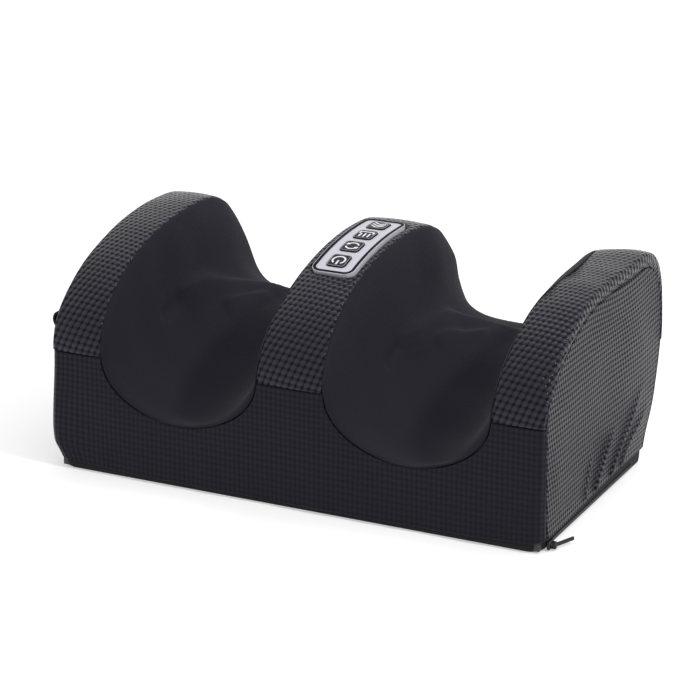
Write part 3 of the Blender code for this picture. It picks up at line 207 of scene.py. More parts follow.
def floorHeight(y):
    # the well's floor along its middle: a smooth climb to the crest, then a fall to the back lip
    climb = ease(y, (frontY, crestY - frontY))
    fall = np.clip((y - crestY) / (halfDepth - crestY), 0, 1)
    rise = (wellForm["crest"] - wellForm["frontLip"]) * climb
    return wellForm["frontLip"] + rise - (wellForm["crest"] - wellForm["backLip"]) * fall ** 2


def wellSection(y, turn):
    # x and height of the well's section in the plane y: a superellipse hung from the fins' top line
    share = ease(y, (frontY, bodyForm["depth"]))
    power = 2 / (wellForm["frontPower"] + (wellForm["backPower"] - wellForm["frontPower"]) * share)
    rim = np.interp(y, fin["y"], fin["z"])
    across = np.sign(turn) * np.abs(np.sin(turn)) ** power
    down = np.abs(np.cos(turn)) ** power
    drawn = 1 - wellForm["taper"] * share * (1 - (1 - down) ** wellForm["taperPower"])
    return wellHalf(rim) * across * drawn, rim - (rim - floorHeight(y)) * down


def turnedIn(distance, radius):
    # how far a sewn edge drops at this distance from the seam: a quarter round of the radius
    left = np.clip(radius - distance, 0, radius)
    return radius - np.sqrt(np.maximum(radius * radius - left * left, 0))


def nearest(points, line, chunk=4000):
    # distance from every point to a polyline's closest segment, in the plane of two coordinates
    flat = points.reshape(-1, 2)
    start, step = line[:-1], np.diff(line, axis=0)
    size = np.maximum((step ** 2).sum(1), 1e-18)
    found = np.empty(len(flat))
    for low in range(0, len(flat), chunk):
        part = flat[low:low + chunk, None, :] - start[None]
        share = np.clip((part * step[None]).sum(2) / size, 0, 1)
        gap = part - share[..., None] * step[None]
        found[low:low + chunk] = np.sqrt((gap ** 2).sum(2).min(1))
    return found.reshape(points.shape[:-1])


def clustered(count, edge):
    # shares from 0 to 1, packed towards both ends by the amount edge, from 0 to 1
    even = np.linspace(0, 1, count)
    return even * (1 - edge) + edge * (1 - np.cos(math.pi * even)) / 2


def roundedLoop(halfX, halfY, corner, sideSteps, cornerSteps):
    # points round a rounded rectangle: a quarter circle at each corner and even steps between them
    half = np.array([halfX - corner, halfY - corner])
    arcs = []
    for number, (signX, signY) in enumerate(((1, -1), (1, 1), (-1, 1), (-1, -1))):
        angle = np.linspace(0, math.pi / 2, cornerSteps) + (number - 1) * math.pi / 2
        arc = np.stack([np.cos(angle), np.sin(angle)], axis=-1)
        arcs.append(half * np.array([signX, signY]) + corner * arc)
    path = []
    share = np.linspace(0, 1, sideSteps)[1:-1, None]
    for number, arc in enumerate(arcs):
        path += [arc, arc[-1] * (1 - share) + arcs[(number + 1) % 4][0] * share]
    return np.concatenate(path)


# mesh functions

def gridNormals(points):
    # unit normals of a grid of points: the cross product of the steps along its two directions
    normal = np.cross(np.gradient(points, axis=0), np.gradient(points, axis=1))
    return normal / np.maximum(np.linalg.norm(normal, axis=-1, keepdims=True), 1e-12)


def makeObject(name, points, faces, material, uv=None, sharp=50):
    # puts whole arrays into a mesh; faces are one array of quads, or a list where their sizes differ
    mixed = isinstance(faces, list)
    sizes = np.array([len(face) for face in faces]) if mixed else np.full(len(faces), faces.shape[1])
    corners = np.concatenate(faces) if mixed else faces.ravel()
    points = np.ascontiguousarray(points, np.float32)
    mesh = bpy.data.meshes.new(name)
    mesh.vertices.add(len(points))
    mesh.vertices.foreach_set("co", points.ravel())
    mesh.loops.add(len(corners))
    mesh.loops.foreach_set("vertex_index", corners.astype(np.int32))
    mesh.polygons.add(len(sizes))
    starts = np.concatenate([[0], np.cumsum(sizes)[:-1]])
    mesh.polygons.foreach_set("loop_start", starts.astype(np.int32))
    mesh.polygons.foreach_set("loop_total", sizes.astype(np.int32))
    mesh.polygons.foreach_set("use_smooth", np.ones(len(sizes), bool))
    if uv is not None:
        layer = mesh.uv_layers.new(name="grain")
        layer.data.foreach_set("uv", np.ascontiguousarray(uv[corners], np.float32).ravel())
    mesh.update(calc_edges=True)
    mesh.validate()
    mesh.set_sharp_from_angle(angle=math.radians(sharp))
    mesh.materials.append(material)
    obj = bpy.data.objects.new(name, mesh)
    bpy.context.scene.collection.objects.link(obj)
    return obj


def gridFaces(rows, cols, start=0, roundRows=False, roundCols=False):
    # quads between neighbours of a grid, joined end to start where a direction is round
    down = np.arange(rows if roundRows else rows - 1)
    over = np.arange(cols if roundCols else cols - 1)
    r, c = np.meshgrid(down, over, indexing="ij")
    rNext, cNext = (r + 1) % rows, (c + 1) % cols
    quads = [r * cols + c, r * cols + cNext, rNext * cols + cNext, rNext * cols + c]
    return np.stack(quads, axis=-1).reshape(-1, 4) + start


def faceOutwards(obj):
    # turns the faces out where the signed volume says that they point in
    mesh = obj.data
    mesh.calc_loop_triangles()
    corner = np.empty(len(mesh.loop_triangles) * 3, np.int32)
    mesh.loop_triangles.foreach_get("vertices", corner)
    point = np.empty(len(mesh.vertices) * 3, np.float32)
    mesh.vertices.foreach_get("co", point)
    a, b, c = point.reshape(-1, 3)[corner.reshape(-1, 3)].transpose(1, 0, 2).astype(float)
    if (np.cross(a, b) * c).sum() < 0:
        mesh.flip_normals()


def sheetPiece(name, outer, thickness, material, uv, outward, hole=None):
    # a closed cloth: the seen grid, the same grid pushed back by the thickness, and a strip round its borders
    normal = gridNormals(outer)
    if (normal * (outward - outer)).sum() < 0:
        outer, uv = outer[:, ::-1], uv[:, ::-1]
        normal = gridNormals(outer)
        hole = None if hole is None else hole[:, ::-1]
    inner = outer - normal * thickness
    rows, cols = outer.shape[:2]
    count = rows * cols
    quads = gridFaces(rows, cols)[:, ::-1]
    if hole is not None:
        quads = quads[~hole.reshape(-1)]
    here, after = quads.reshape(-1), np.roll(quads, -1, axis=1).reshape(-1)
    lone = ~np.isin(here * count + after, after * count + here)
    here, after = here[lone], after[lone]
    strip = np.stack([after, here, here + count, after + count], axis=-1)
    faces = np.concatenate([quads, quads[:, ::-1] + count, strip])
    kept, faces = np.unique(faces, return_inverse=True)
    points = np.concatenate([outer.reshape(-1, 3), inner.reshape(-1, 3)])[kept]
    marks = np.concatenate([uv.reshape(-1, 2), uv.reshape(-1, 2)])[kept]
    obj = makeObject(name, points, faces.reshape(-1, 4), material, marks)
    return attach(obj, "massager")


# materials

class Nodes:
    # a short way to wire shader nodes
    def __init__(self, name):
        self.material = bpy.data.materials.new(name)
        self.material.use_nodes = True
        self.tree = self.material.node_tree
        self.shader = self.tree.nodes["Principled BSDF"]
        self.where = self.add("ShaderNodeTexCoord").outputs["Object"]

    def add(self, kind, **values):
        node = self.tree.nodes.new(kind)
        for key, value in values.items():
            setattr(node, key, value)
        return node

    def join(self, source, target):
        self.tree.links.new(source, target)

    def feed(self, socket, source):
        self.join(source, self.shader.inputs[socket])

    def fix(self, socket, value):
        self.shader.inputs[socket].default_value = value

    def math(self, operation, *values):
        node = self.add("ShaderNodeMath", operation=operation)
        for slot, value in enumerate(values):
            if isinstance(value, (int, float)):
                node.inputs[slot].default_value = value
            else:
                self.join(value, node.inputs[slot])
        return node.outputs[0]

    def plus(self, a, b):
        return self.math("ADD", a, b)

    def minus(self, a, b):
        return self.math("SUBTRACT", a, b)

    def times(self, a, b):
        return self.math("MULTIPLY", a, b)

    def sine(self, value, scale):
        return self.math("SINE", self.times(value, scale))

    def parts(self, vector):
        cut = self.add("ShaderNodeSeparateXYZ")
        self.join(vector, cut.inputs[0])
        return cut.outputs

    def grain(self):
        # the two directions of the piece's own grain map
        return self.parts(self.add("ShaderNodeUVMap", uv_map="grain").outputs["UV"])

    def noise(self, scale, detail=3.0, rough=0.5):
        node = self.add("ShaderNodeTexNoise")
        node.inputs["Scale"].default_value = scale
        node.inputs["Detail"].default_value = detail
        node.inputs["Roughness"].default_value = rough
        self.join(self.where, node.inputs["Vector"])
        return node.outputs["Fac"]

    def relief(self, height, distance):
        node = self.add("ShaderNodeBump")
        node.inputs["Distance"].default_value = distance
        self.join(height, node.inputs["Height"])
        self.feed("Normal", node.outputs["Normal"])

    def shade(self, share, base, low, high):
        # the colour runs from one multiple of the base to another
        node = self.add("ShaderNodeMix", data_type="RGBA")
        self.join(share, node.inputs["Factor"])
        node.inputs[6].default_value = (*(value * low for value in base), 1)
        node.inputs[7].default_value = (*(min(1, value * high) for value in base), 1)
        self.feed("Base Color", node.outputs[2])


embossLook = {"base": (0.0076, 0.0073, 0.0118), "tint": (0.86, 0.84, 1.0, 1), "height": 0.00070,
              "drift": (0.22, 0.16), "driftScale": 45, "padShare": 0.90, "deepest": 1.2,
              "pores": 0.08, "poreScale": 2600, "patchScale": 26, "flatShine": 0.40, "pitShine": 0.97,
              "pitShade": 0.45, "unworn": 0.80, "wearAndPitShade": 0.40, "dark": 0.10, "light": 1.20,
              "roughSpread": 0.12}


def leatherette(name, depth, pitWide, pitTall, gloss, rough=0.38):
    # embossed cloth-backed vinyl: pads on a lattice of one unit each way with short upright pits between
    # them, a fine pore grain over it and slow patches of wear; the lattice is the piece's own grain map. The
    # depth sets the emboss's bump and the strength of the painted shade in the pits and of the painted
    # highlight on the pads' crowns; depth and gloss are set per panel for how the light falls on each
    look = embossLook
    n = Nodes(name)
    across, up = n.grain()[:2]
    drift = n.noise(look["driftScale"], 2)
    u = n.plus(across, n.times(drift, look["drift"][0]))
    v = n.plus(up, n.times(drift, look["drift"][1]))
    du = n.math("ABSOLUTE", n.minus(n.math("FRACT", u), 0.5))
    dv = n.math("ABSOLUTE", n.minus(n.math("FRACT", v), 0.5))
    # the pit is an upright oval round the cell's middle, the pad a product of half sines round its corner
    reach = n.plus(n.math("POWER", n.math("DIVIDE", du, pitWide), 2),
                   n.math("POWER", n.math("DIVIDE", dv, pitTall), 2))
    pit = n.math("POWER", 2.718, n.times(reach, -1.0))
    pad = n.times(n.sine(du, math.pi), n.sine(dv, math.pi))
    emboss = n.times(n.minus(n.times(pad, look["padShare"]), pit), min(depth, look["deepest"]))
    pores = n.noise(look["poreScale"], 4, 0.6)
    patches = n.noise(look["patchScale"])
    n.relief(n.plus(emboss, n.times(pores, look["pores"])), look["height"])
    # painted shade and highlight: light is made to die in the pits and to gather on the pads' crowns, in the
    # gloss level and, for the pits, in the colour too
    share = min(depth, 1.0)
    crown = n.plus(1 - look["flatShine"] * share, n.times(pad, share))
    shine = n.times(crown, n.minus(1.0, n.times(pit, look["pitShine"] * share)))
    clear = n.minus(1.0, n.times(pit, look["pitShade"] * share))
    # the colour's share: the painted shade in the pits times the slow patches of real wear
    wearAndPitShade = n.times(clear, n.plus(look["unworn"], n.times(patches, look["wearAndPitShade"])))
    n.shade(wearAndPitShade, look["base"], look["dark"], look["light"])
    n.feed("Specular IOR Level", n.times(shine, gloss))
    n.feed("Roughness", n.plus(rough - look["roughSpread"] / 2, n.times(patches, look["roughSpread"])))
    n.fix("Specular Tint", look["tint"])
    return n.material


knitLook = {"base": (0.0140, 0.0131, 0.0192), "tint": (0.86, 0.85, 1.0, 1), "height": 0.00018,
            "wale": 0.0011, "waleRise": 0.10, "course": 0.0024, "courseRise": 0.2, "courseShade": 0.13,
            "nap": 0.8, "napScale": 1800, "slowScale": 30, "slowShade": 0.6, "slowRough": 0.14,
            "shade": 0.15, "rough": 0.78, "level": 0.18, "sheen": 0.06, "sheenRough": 0.4}


def knitCloth(name):
    # fine knit: sines for the courses across the well and the wales along it, with a soft nap of noise
    look = knitLook
    n = Nodes(name)
    across, along = n.grain()[:2]
    wale = n.sine(across, math.tau / look["wale"])
    course = n.sine(along, math.tau / look["course"])
    nap = n.noise(look["napScale"], 4, 0.6)
    slow = n.noise(look["slowScale"])
    loops = n.plus(n.times(wale, look["waleRise"]), n.times(course, look["courseRise"]))
    n.relief(n.plus(loops, n.times(nap, look["nap"])), look["height"])
    slowly = n.plus(look["shade"], n.times(slow, look["slowShade"]))
    n.shade(n.plus(n.times(course, look["courseShade"]), slowly), look["base"], 0.75, 1.3)
    n.feed("Roughness", n.plus(look["rough"], n.times(slow, look["slowRough"])))
    n.fix("Specular IOR Level", look["level"])
    n.fix("Specular Tint", look["tint"])
    n.fix("Sheen Weight", look["sheen"])
    n.fix("Sheen Roughness", look["sheenRough"])
    return n.material


def moulded(name, base, rough=0.45, metal=0.0, grain=0.00004, grainScale=1800, level=0.5):
    # plastic or metal with a fine surface grain and a slow change in gloss and shade
    n = Nodes(name)
    fine = n.noise(grainScale, 3, 0.6)
    slow = n.noise(22, 2)
    n.relief(fine, grain)
    n.shade(slow, base, 0.90, 1.08)
    n.feed("Roughness", n.plus(rough - 0.05, n.times(slow, 0.10)))
    n.fix("Metallic", metal)
    n.fix("Specular IOR Level", level)
    return n.material


def webbing(name, base=(0.010, 0.010, 0.012), rib=0.0009):
    # narrow woven tape: a twill of two sets of diagonal ribs, each a sine
    n = Nodes(name)
    x, y, z = n.parts(n.where)
    along = n.plus(x, y)
    rising = n.sine(n.plus(along, z), math.tau / rib)
    falling = n.sine(n.minus(along, z), math.tau / rib)
    weave = n.times(n.plus(rising, falling), 0.5)
    n.relief(weave, 0.00012)
    n.shade(n.plus(0.5, n.times(weave, 0.4)), base, 0.6, 1.5)
    n.fix("Roughness", 0.75)
    n.fix("Specular IOR Level", 0.25)
    return n.material


# three copies of the one vinyl, each with its own pit depth and gloss for how the light falls on it: the
# front and back panels' copy is the dullest, a painted shade, and the side panels' the glossiest, a painted
# sheen; the fin bands' copy lies between
frontCover = leatherette("leatheretteShadedFront", 0.36, 0.24, 0.35, 0.145)
bandCover = leatherette("leatheretteBand", 0.90, 0.26, 0.34, 0.295, rough=0.20)
litSideCover = leatherette("leatheretteLitSide", 1.30, 0.44, 0.31, 0.40)
knit = knitCloth("wellKnit")
tapeCloth = webbing("zipTape")
loopCloth = webbing("loopWebbing", (0.012, 0.012, 0.014))
silver = moulded("silverPlastic", (0.60, 0.595, 0.645), 0.28)
plateFinish = moulded("plateLilac", (0.58, 0.57, 0.65), 0.42)
keyPlastic = moulded("keyPlastic", (0.008, 0.008, 0.013), 0.50, level=0.22)
iconInk = moulded("iconInk", (0.86, 0.86, 0.90), 0.5)
rimInk = moulded("rimInk", (0.46, 0.46, 0.50), 0.5)
# a dark, dull ribbon laid where the groove round the plate is: painted shade of the groove
grooveShade = moulded("grooveShade", (0.006, 0.006, 0.013), 0.60, level=0.08)
foamFinish = moulded("foamGrey", (0.30, 0.30, 0.31), 0.9, grain=0.0004, grainScale=900, level=0.1)
toothPlastic = moulded("toothPlastic", (0.030, 0.030, 0.034), 0.32)
darkMetal = moulded("zipMetal", (0.035, 0.035, 0.040), 0.30, 0.9)
print("materials made")


# cover bands along the fins

bandLook = {"thickness": 0.0012, "innerRoll": 0.0024, "outerTurn": 0.0015, "corner": 0.0028,
            "crown": 0.0010, "endTurn": 0.0007, "seamGap": 0.0005, "dip": 0.0024, "dipReach": 0.0022,
            "stripBulge": 0.0007, "uneven": 0.00035, "unevenSize": 0.050, "calmEnd": 0.012,
            "windowInset": 0.0035, "pads": ((4.71, -0.54), (1.69, 4.87)),
            "steps": 230, "quarterSteps": 8, "flatSteps": 18, "cornerSteps": 9, "stripSteps": 8,
            "turnSteps": 6, "rowMeasured": 60}
panelForm = {"fromApex": 0.040, "length": 0.104, "width": 0.036, "corner": 0.008}
panelRun = apexRun - panelForm["fromApex"]


def bandRuns():
    # lengths along the fin, packed where the band's two ends turn in
    turn = bandLook["endTurn"]
    ends = np.array([0, 0.08, 0.22, 0.42, 0.68, 1.0]) * turn
    middle = np.linspace(turn * 1.6, finLength - turn * 1.6, bandLook["steps"])
    return np.concatenate([ends, middle, finLength - ends[::-1]])


def outsidePanel(x, run):
    # how far a place on the middle fin lies outside the control panel's rounded outline
    along = np.abs(run - panelRun) - panelForm["length"] / 2 + panelForm["corner"]
    across = np.abs(x) - panelForm["width"] / 2 + panelForm["corner"]
    return np.hypot(np.maximum(along, 0), np.maximum(across, 0)) - panelForm["corner"]


def bandGrid(side):
    # across the band: a quarter round up from the well's seam, a crowned flat, and either the same quarter
    # round down again or the outer shoulder's roll with its edge turned in at the side panel's seam
    look = bandLook
    run = bandRuns()[:, None]
    height = onFin(run, "z")
    small = look["innerRoll"]
    edge = wellHalf(height) + look["seamGap"]
    start = wellForm["centre"] + edge if side else -(wellForm["centre"] - edge)
    end = halfWidth - look["corner"] + 0 * height if side else wellForm["centre"] - edge
    if side > 0:
        start = start + drawnOver(onFin(run, "y"))
    quarter = np.linspace(0, math.pi / 2, look["quarterSteps"])[None]
    share = clustered(look["flatSteps"], 0.3)[None, 1:-1]
    flat = (end if side else end - small) - start - small
    strips = [(start + small * (1 - np.cos(quarter)), small * np.sin(quarter) - small),
              (start + small + flat * share, look["crown"] * (1 - (2 * share - 1) ** 2))]
    if side:
        # a tight corner, then a narrow upright strip down to the side panel's seam
        radius, corner, turn = rollRadius(height), look["corner"], look["outerTurn"]
        angle = np.linspace(0, math.pi / 2, look["cornerSteps"])[None]
        strips.append((end + corner * np.sin(angle), corner * np.cos(angle) - corner))
        share = np.linspace(0, 1, look["stripSteps"])[None, 1:]
        bulge = look["stripBulge"] * np.sin(math.pi * share)
        strips.append((halfWidth + bulge, -corner - (radius - corner) * share))
        angle = np.linspace(0, math.pi / 2, look["turnSteps"])[None, 1:]
        strips.append((halfWidth - turn + turn * np.cos(angle), -radius - turn * np.sin(angle)))
    else:
        strips.append((end - small + small * np.sin(quarter), small * np.cos(quarter) - small))
    x, lift = (np.concatenate([np.broadcast_to(strip[which], (len(run), strip[which].shape[1]))
                               for strip in strips], axis=1) for which in (0, 1))
    distance = np.minimum(run, finLength - run)
    drop = turnedIn(distance, look["endTurn"])
    if not side:
        # the cloth dips where the control panel's housing presses on it
        drop = drop + look["dip"] * smooth(1 - outsidePanel(x, run) / look["dipReach"])
    calm = smooth(distance / look["calmEnd"])
    swell = look["uneven"] * ripple(x, run, look["unevenSize"], 11 + side) * calm
    points = overFin(side * x if side else x, lift - drop + swell, run)
    row = look["rowMeasured"]
    across = np.concatenate([[0], np.cumsum(np.hypot(np.diff(x[row]), np.diff(lift[row])))])
    return points, run, across


def bandUv(run, across, side):
    # the grain's two directions as the cloth was pulled over the fin, in millimetres to a pad each way: the
    # lengths across and along, solved for their shares of the two pad steps
    sign = 1 if side >= 0 else -1
    first, second = np.array(bandLook["pads"]) * np.array([[1, sign], [sign, 1]])
    area = first[0] * second[1] - first[1] * second[0]
    u = (across * second[1] - run * second[0]) / area
    v = (run * first[0] - across * first[1]) / area
    return np.stack([u, v], axis=-1) * 1000


def makeBands():
    # each band is its grid pushed onto the stuffed form, with a window for the control panel in the middle
    look = bandLook
    for side, name in ((-1, "left"), (0, "middle"), (1, "right")):
        points, run, across = bandGrid(side)
        x = points[..., 0]
        uv = bandUv(*np.broadcast_arrays(run, across[None]), side)
        window = None
        if not side:
            middle = np.abs(run - panelRun) < panelForm["length"] / 2 - look["windowInset"]
            clear = middle & (np.abs(x) < panelForm["width"] / 2 - look["windowInset"])
            window = clear[:-1, :-1] & clear[1:, :-1] & clear[:-1, 1:] & clear[1:, 1:]
        outward = 2 * points - np.array([side * (halfWidth - 0.02), 0.0, 0.04])
        fit = fitted(points)
        band = sheetPiece(f"{name}FinCover", fit, look["thickness"], bandCover, uv, outward, window)
        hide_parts(f"{name}_fin_band")


makeBands()
print("fin bands sewn")


# front and back panels

wrapLook = {"pad": (0.0040, 0.0045), "thickness": 0.0012, "turn": 0.0012, "seamGap": 0.0006,
            "topDrop": 0.0002, "seams": 0.01, "backLost": 0.0011, "wave": 0.0005, "waveSize": 0.085,
            "tuck": 0.0006, "tuckSize": 0.034, "tuckHigh": (0.008, 0.03), "calm": 0.02,
            "rows": 84, "wellCols": 76, "cornerCols": 10, "flatCols": 16, "middleCols": 18}


def wrapGrid(facing):
    # every column runs from the hem to the shoulder or to a well's lip; the columns go round one corner,
    # along the flats and the two wells' lips, and round the other corner, a quarter circle of its radius
    look = wrapLook
    seam = wellForm["halfFront"] + look["seamGap"]
    inner, outer = wellForm["centre"] - seam, wellForm["centre"] + seam
    reach = (outer - inner) / 2
    top = bodyForm["shoulder"] - look["topDrop"]
    turn = np.linspace(-math.pi / 2, math.pi / 2, look["wellCols"])
    if facing < 0:
        across = np.sin(turn)
        drop = (bodyForm["shoulder"] - wellForm["frontLip"] + look["seamGap"]) * np.cos(turn)
    else:
        x, z = wellSection(halfDepth, turn)
        across = x / np.abs(x).max()
        drop = bodyForm["shoulder"] - z + look["seamGap"] * np.cos(turn)
    flat = clustered(look["flatCols"], 0.85)[None, 1:-1]
    middle = clustered(look["middleCols"], 0.85)[None, 1:-1]
    corner = np.linspace(0, math.pi / 2, look["cornerCols"])[None]
    v = clustered(look["rows"], 0.25)[:, None]

    def column(top, place=None, angle=None, side=1):
        z = bodyForm["hem"] + (top - bodyForm["hem"]) * v
        radius = cornerRadius(z)
        if angle is None:
            x, y = place(radius), halfDepth
        else:
            x = side * (halfWidth - radius + radius * np.cos(angle))
            y = halfDepth - radius + radius * np.sin(angle)
        x, y, z = np.broadcast_arrays(x, y, z)
        return np.stack([x, facing * y, z], axis=-1)

    lip = (bodyForm["shoulder"] - drop)[None]
    points = np.concatenate([
        column(top, angle=corner, side=-1),
        column(top, lambda radius: -(halfWidth - radius) + ((halfWidth - radius) - outer) * flat),
        column(lip, lambda radius: (-wellForm["centre"] + reach * across)[None]),
        column(top, lambda radius: -inner + 2 * inner * middle),
        column(lip, lambda radius: (wellForm["centre"] + reach * across)[None]),
        column(top, lambda radius: outer + ((halfWidth - radius) - outer) * flat),
        column(top, angle=corner[:, ::-1])], axis=1)
    # lengths round the corners, for the grain and for the distance to the seams
    step = np.linalg.norm(np.diff(points[:, :, :2], axis=1), axis=2)
    along = np.concatenate([np.zeros((len(points), 1)), np.cumsum(step, axis=1)], axis=1)
    return points, along - along[:, -1:] / 2


def makeWrapPanels():
    # the grid moves along its normals by two slow waves, calm near the seams, less a quarter round at the
    # edges
    look = wrapLook
    for facing, name, node in ((-1, "frontCover", "front_panel"), (1, "backCover", "back_panel")):
        points, along = wrapGrid(facing)
        z = points[..., 2]
        plan = np.stack([along, z], axis=-1)
        sides = np.minimum(along - along[:, :1], along[:, -1:] - along)
        toHead = nearest(plan, plan[-1])
        edge = sum(turnedIn(gap, look["turn"]) for gap in (toHead, nearest(plan, plan[0]), sides))
        edge = np.minimum(edge, look["turn"])
        normal = gridNormals(points)
        if (normal[..., 1] * facing).mean() < 0:
            normal = -normal
        calm = smooth(toHead / look["calm"]) * smooth(sides / look["calm"])
        tucks = look["tuck"] * ripple(along, z * 0.3, look["tuckSize"], 8) * bell(z, look["tuckHigh"])
        wave = (look["wave"] * ripple(along, z, look["waveSize"], 5 + facing) + tucks) * calm
        points = points + normal * (wave - edge)[..., None]
        outward = points + np.array([0, facing, 0])
        uv = np.stack([along / look["pad"][0], points[..., 2] / look["pad"][1]], axis=-1)
        fit = hemmed(fitted(points))
        panel = sheetPiece(name, fit, look["thickness"], frontCover, uv, outward)
        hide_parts(node)


makeWrapPanels()
print("front and back panels sewn")


# side panels

# each fold: its start, middle and end by y and z, its width and its strength
sideLook = {"pad": (0.0039, 0.00417), "shift": 0.00123, "thickness": 0.0012, "turn": 0.0015, "rows": 120,
            "cols": 190, "seamGap": 0.0002, "cornerGap": 0.0003, "topDrop": 0.002,
            "puff": 0.0012, "puffEdge": 0.045, "uneven": 0.0005, "unevenSize": 0.070, "unevenEdge": 0.02,
            "fold": 0.0022, "foldEdge": 0.006, "leftShare": 0.6, "roundTop": 0.86,
            "folds": [((-0.010, 0.008), (0.000, 0.036), (0.028, 0.058), 0.0034, 1.0),
                      ((-0.029, 0.008), (-0.030, 0.030), (-0.016, 0.050), 0.0030, 0.55),
                      ((0.026, 0.008), (0.034, 0.036), (0.086, 0.078), 0.0036, 1.0),
                      ((0.050, 0.008), (0.058, 0.036), (0.100, 0.048), 0.0034, 0.85)]}


def sideGrid(side):
    # columns follow the fin's line and rows go from the hem up to the seam under the shoulder's roll
    look = sideLook
    run = np.linspace(0, finLength, look["cols"])
    inset = rollRadius(onFin(run, "z")) + bandLook["outerTurn"] + look["seamGap"]
    topY = onFin(run, "y") - inset * onFin(run, "ny")
    topZ = np.maximum(onFin(run, "z") - inset * onFin(run, "nz"), bodyForm["shoulder"] - look["topDrop"])
    z = bodyForm["hem"] + (topZ[None] - bodyForm["hem"]) * clustered(look["rows"], 0.25)[:, None]
    radius = cornerRadius(z) + look["cornerGap"]
    share = ((topY - topY[0]) / (topY[-1] - topY[0]))[None]
    y = (frontY + radius) * (1 - share) + (halfDepth - radius) * share
    return np.stack([np.full(y.shape, side * halfWidth), y, z], axis=-1)


def foldHeight(y, z, start, middle, end, width, steps=40):
    # a crease's rise: a bell across the quadratic curve through its three places, fading at both ends and
    # wider towards its second
    t = np.linspace(0, 1, steps)[:, None]
    line = (1 - t) ** 2 * np.array(start) + 2 * t * (1 - t) * np.array(middle) + t ** 2 * np.array(end)
    flat = np.stack([y, z], axis=-1).reshape(-1, 1, 2) - line[None]
    gap = np.sqrt((flat ** 2).sum(2))
    near = gap.argmin(1).reshape(y.shape)
    spread = width * (0.6 + 0.8 * near / (steps - 1))
    fade = smooth((steps - 1 - near) / 14) * smooth((near + 6) / 8)
    return np.exp(-(gap.min(1).reshape(y.shape) / spread) ** 2) * fade


def makeSidePanels():
    # outwards by a puff, a slow unevenness and the folds, all gone at the seams, less the turned-in edge
    look = sideLook
    for side, name in sideNames:
        points = sideGrid(side)
        y, z = points[..., 1], points[..., 2]
        plan = np.stack([y, z], axis=-1)
        border = [plan[0], plan[-1], plan[:, 0], plan[:, -1]]
        distance = np.minimum.reduce([nearest(plan, line) for line in border])
        calm = smooth(distance / look["unevenEdge"])
        uneven = look["uneven"] * ripple(y, z, look["unevenSize"], 21 + side) * calm
        crease = sum(strength * foldHeight(y, z, *fold) for *fold, strength in look["folds"])
        crease = crease * (look["leftShare"] if side < 0 else 1) * look["fold"]
        proud = look["puff"] * smooth(distance / look["puffEdge"]) + uneven
        proud = proud + crease * smooth(distance / look["foldEdge"])
        points[..., 0] += side * (proud - turnedIn(distance, look["turn"]))
        outward = points + np.array([side, 0, 0])
        # each row of pads is shifted on from the last: the cloth was cut off the straight grain
        row = z / look["pad"][1]
        uv = np.stack([(y + row * look["shift"]) / look["pad"][0], row], axis=-1)
        fit = hemmed(fitted(points))
        panel = sheetPiece(f"{name}SideCover", fit, look["thickness"], litSideCover, uv, outward)
        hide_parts(f"{name}_side_panel")


makeSidePanels()
print("side panels sewn")


# well linings

liningLook = {"thickness": 0.0012, "rows": 150, "cols": 150, "topDrop": 0.0006, "turn": 0.0010,
              "calm": 0.012, "uneven": 0.0005, "unevenSize": 0.045, "headLift": 0.0028, "headWide": 0.055,
              "headDeep": 0.040, "headShare": 0.565, "length": 0.24, "cutShare": 0.8}


def liningGrid():
    # rows follow the fins' top line, columns go down one wall, over the floor and up the other
    look = liningLook
    run = np.linspace(0, finLength, look["rows"])[:, None]
    y = onFin(run, "y")
    dense = np.linspace(-math.pi / 2, math.pi / 2, 500)[None]
    x, z = wellSection(y, dense)
    step = np.hypot(np.diff(x, axis=1), np.diff(z, axis=1))
    length = np.concatenate([np.zeros((len(x), 1)), np.cumsum(step, axis=1)], axis=1)
    drop = look["topDrop"]
    even = drop + (length[:, -1:] - 2 * drop) * np.linspace(0, 1, look["cols"])[None]
    xs = np.stack([np.interp(e, l, a) for e, l, a in zip(even, length, x)])
    zs = np.stack([np.interp(e, l, a) for e, l, a in zip(even, length, z)])
    across = even - length[:, -1:] / 2
    return xs, np.broadcast_to(y, xs.shape), zs, across, np.broadcast_to(run, xs.shape)


# the soft folds over the kneading unit: points on the lining by x and y, rise, reach towards the wall and
# towards the floor
wellFolds = {
    -1: [([(-0.0566, -0.012), (-0.0550, 0.003), (-0.0526, 0.018), (-0.0434, 0.040), (-0.030, 0.060),
           (-0.0134, 0.071), (0.004, 0.076)], 0.0048, 0.0060, 0.0190),
         ([(-0.034, 0.018), (-0.020, 0.041), (-0.006, 0.056)], 0.0026, 0.0050, 0.0120),
         ([(-0.0565, -0.042), (-0.0550, -0.020), (-0.0545, -0.006)], -0.0022, 0.0060, 0.0060)],
    1: [([(-0.0510, -0.0135), (-0.047, 0.011), (-0.042, 0.036), (-0.0375, 0.052), (-0.023, 0.060),
          (0.006, 0.054), (0.030, 0.049)], 0.0048, 0.0060, 0.0190),
        ([(-0.036, 0.010), (-0.030, 0.0245), (-0.011, 0.0376), (0.004, 0.042)], 0.0024, 0.0050, 0.0110),
        ([(-0.050, -0.042), (-0.051, -0.023), (-0.051, -0.0135)], -0.0020, 0.0040, 0.0040)]}


def liningPlace(x, y):
    # a place on the lining by its lengths across and along, from its x and y
    run = float(np.interp(y, fin["y"], fin["run"]))
    turn = np.linspace(-math.pi / 2, math.pi / 2, 800)
    xs, zs = wellSection(y, turn)
    length = np.concatenate([[0], np.cumsum(np.hypot(np.diff(xs), np.diff(zs)))])
    return float(np.interp(x, xs, length)) - length[-1] / 2, run


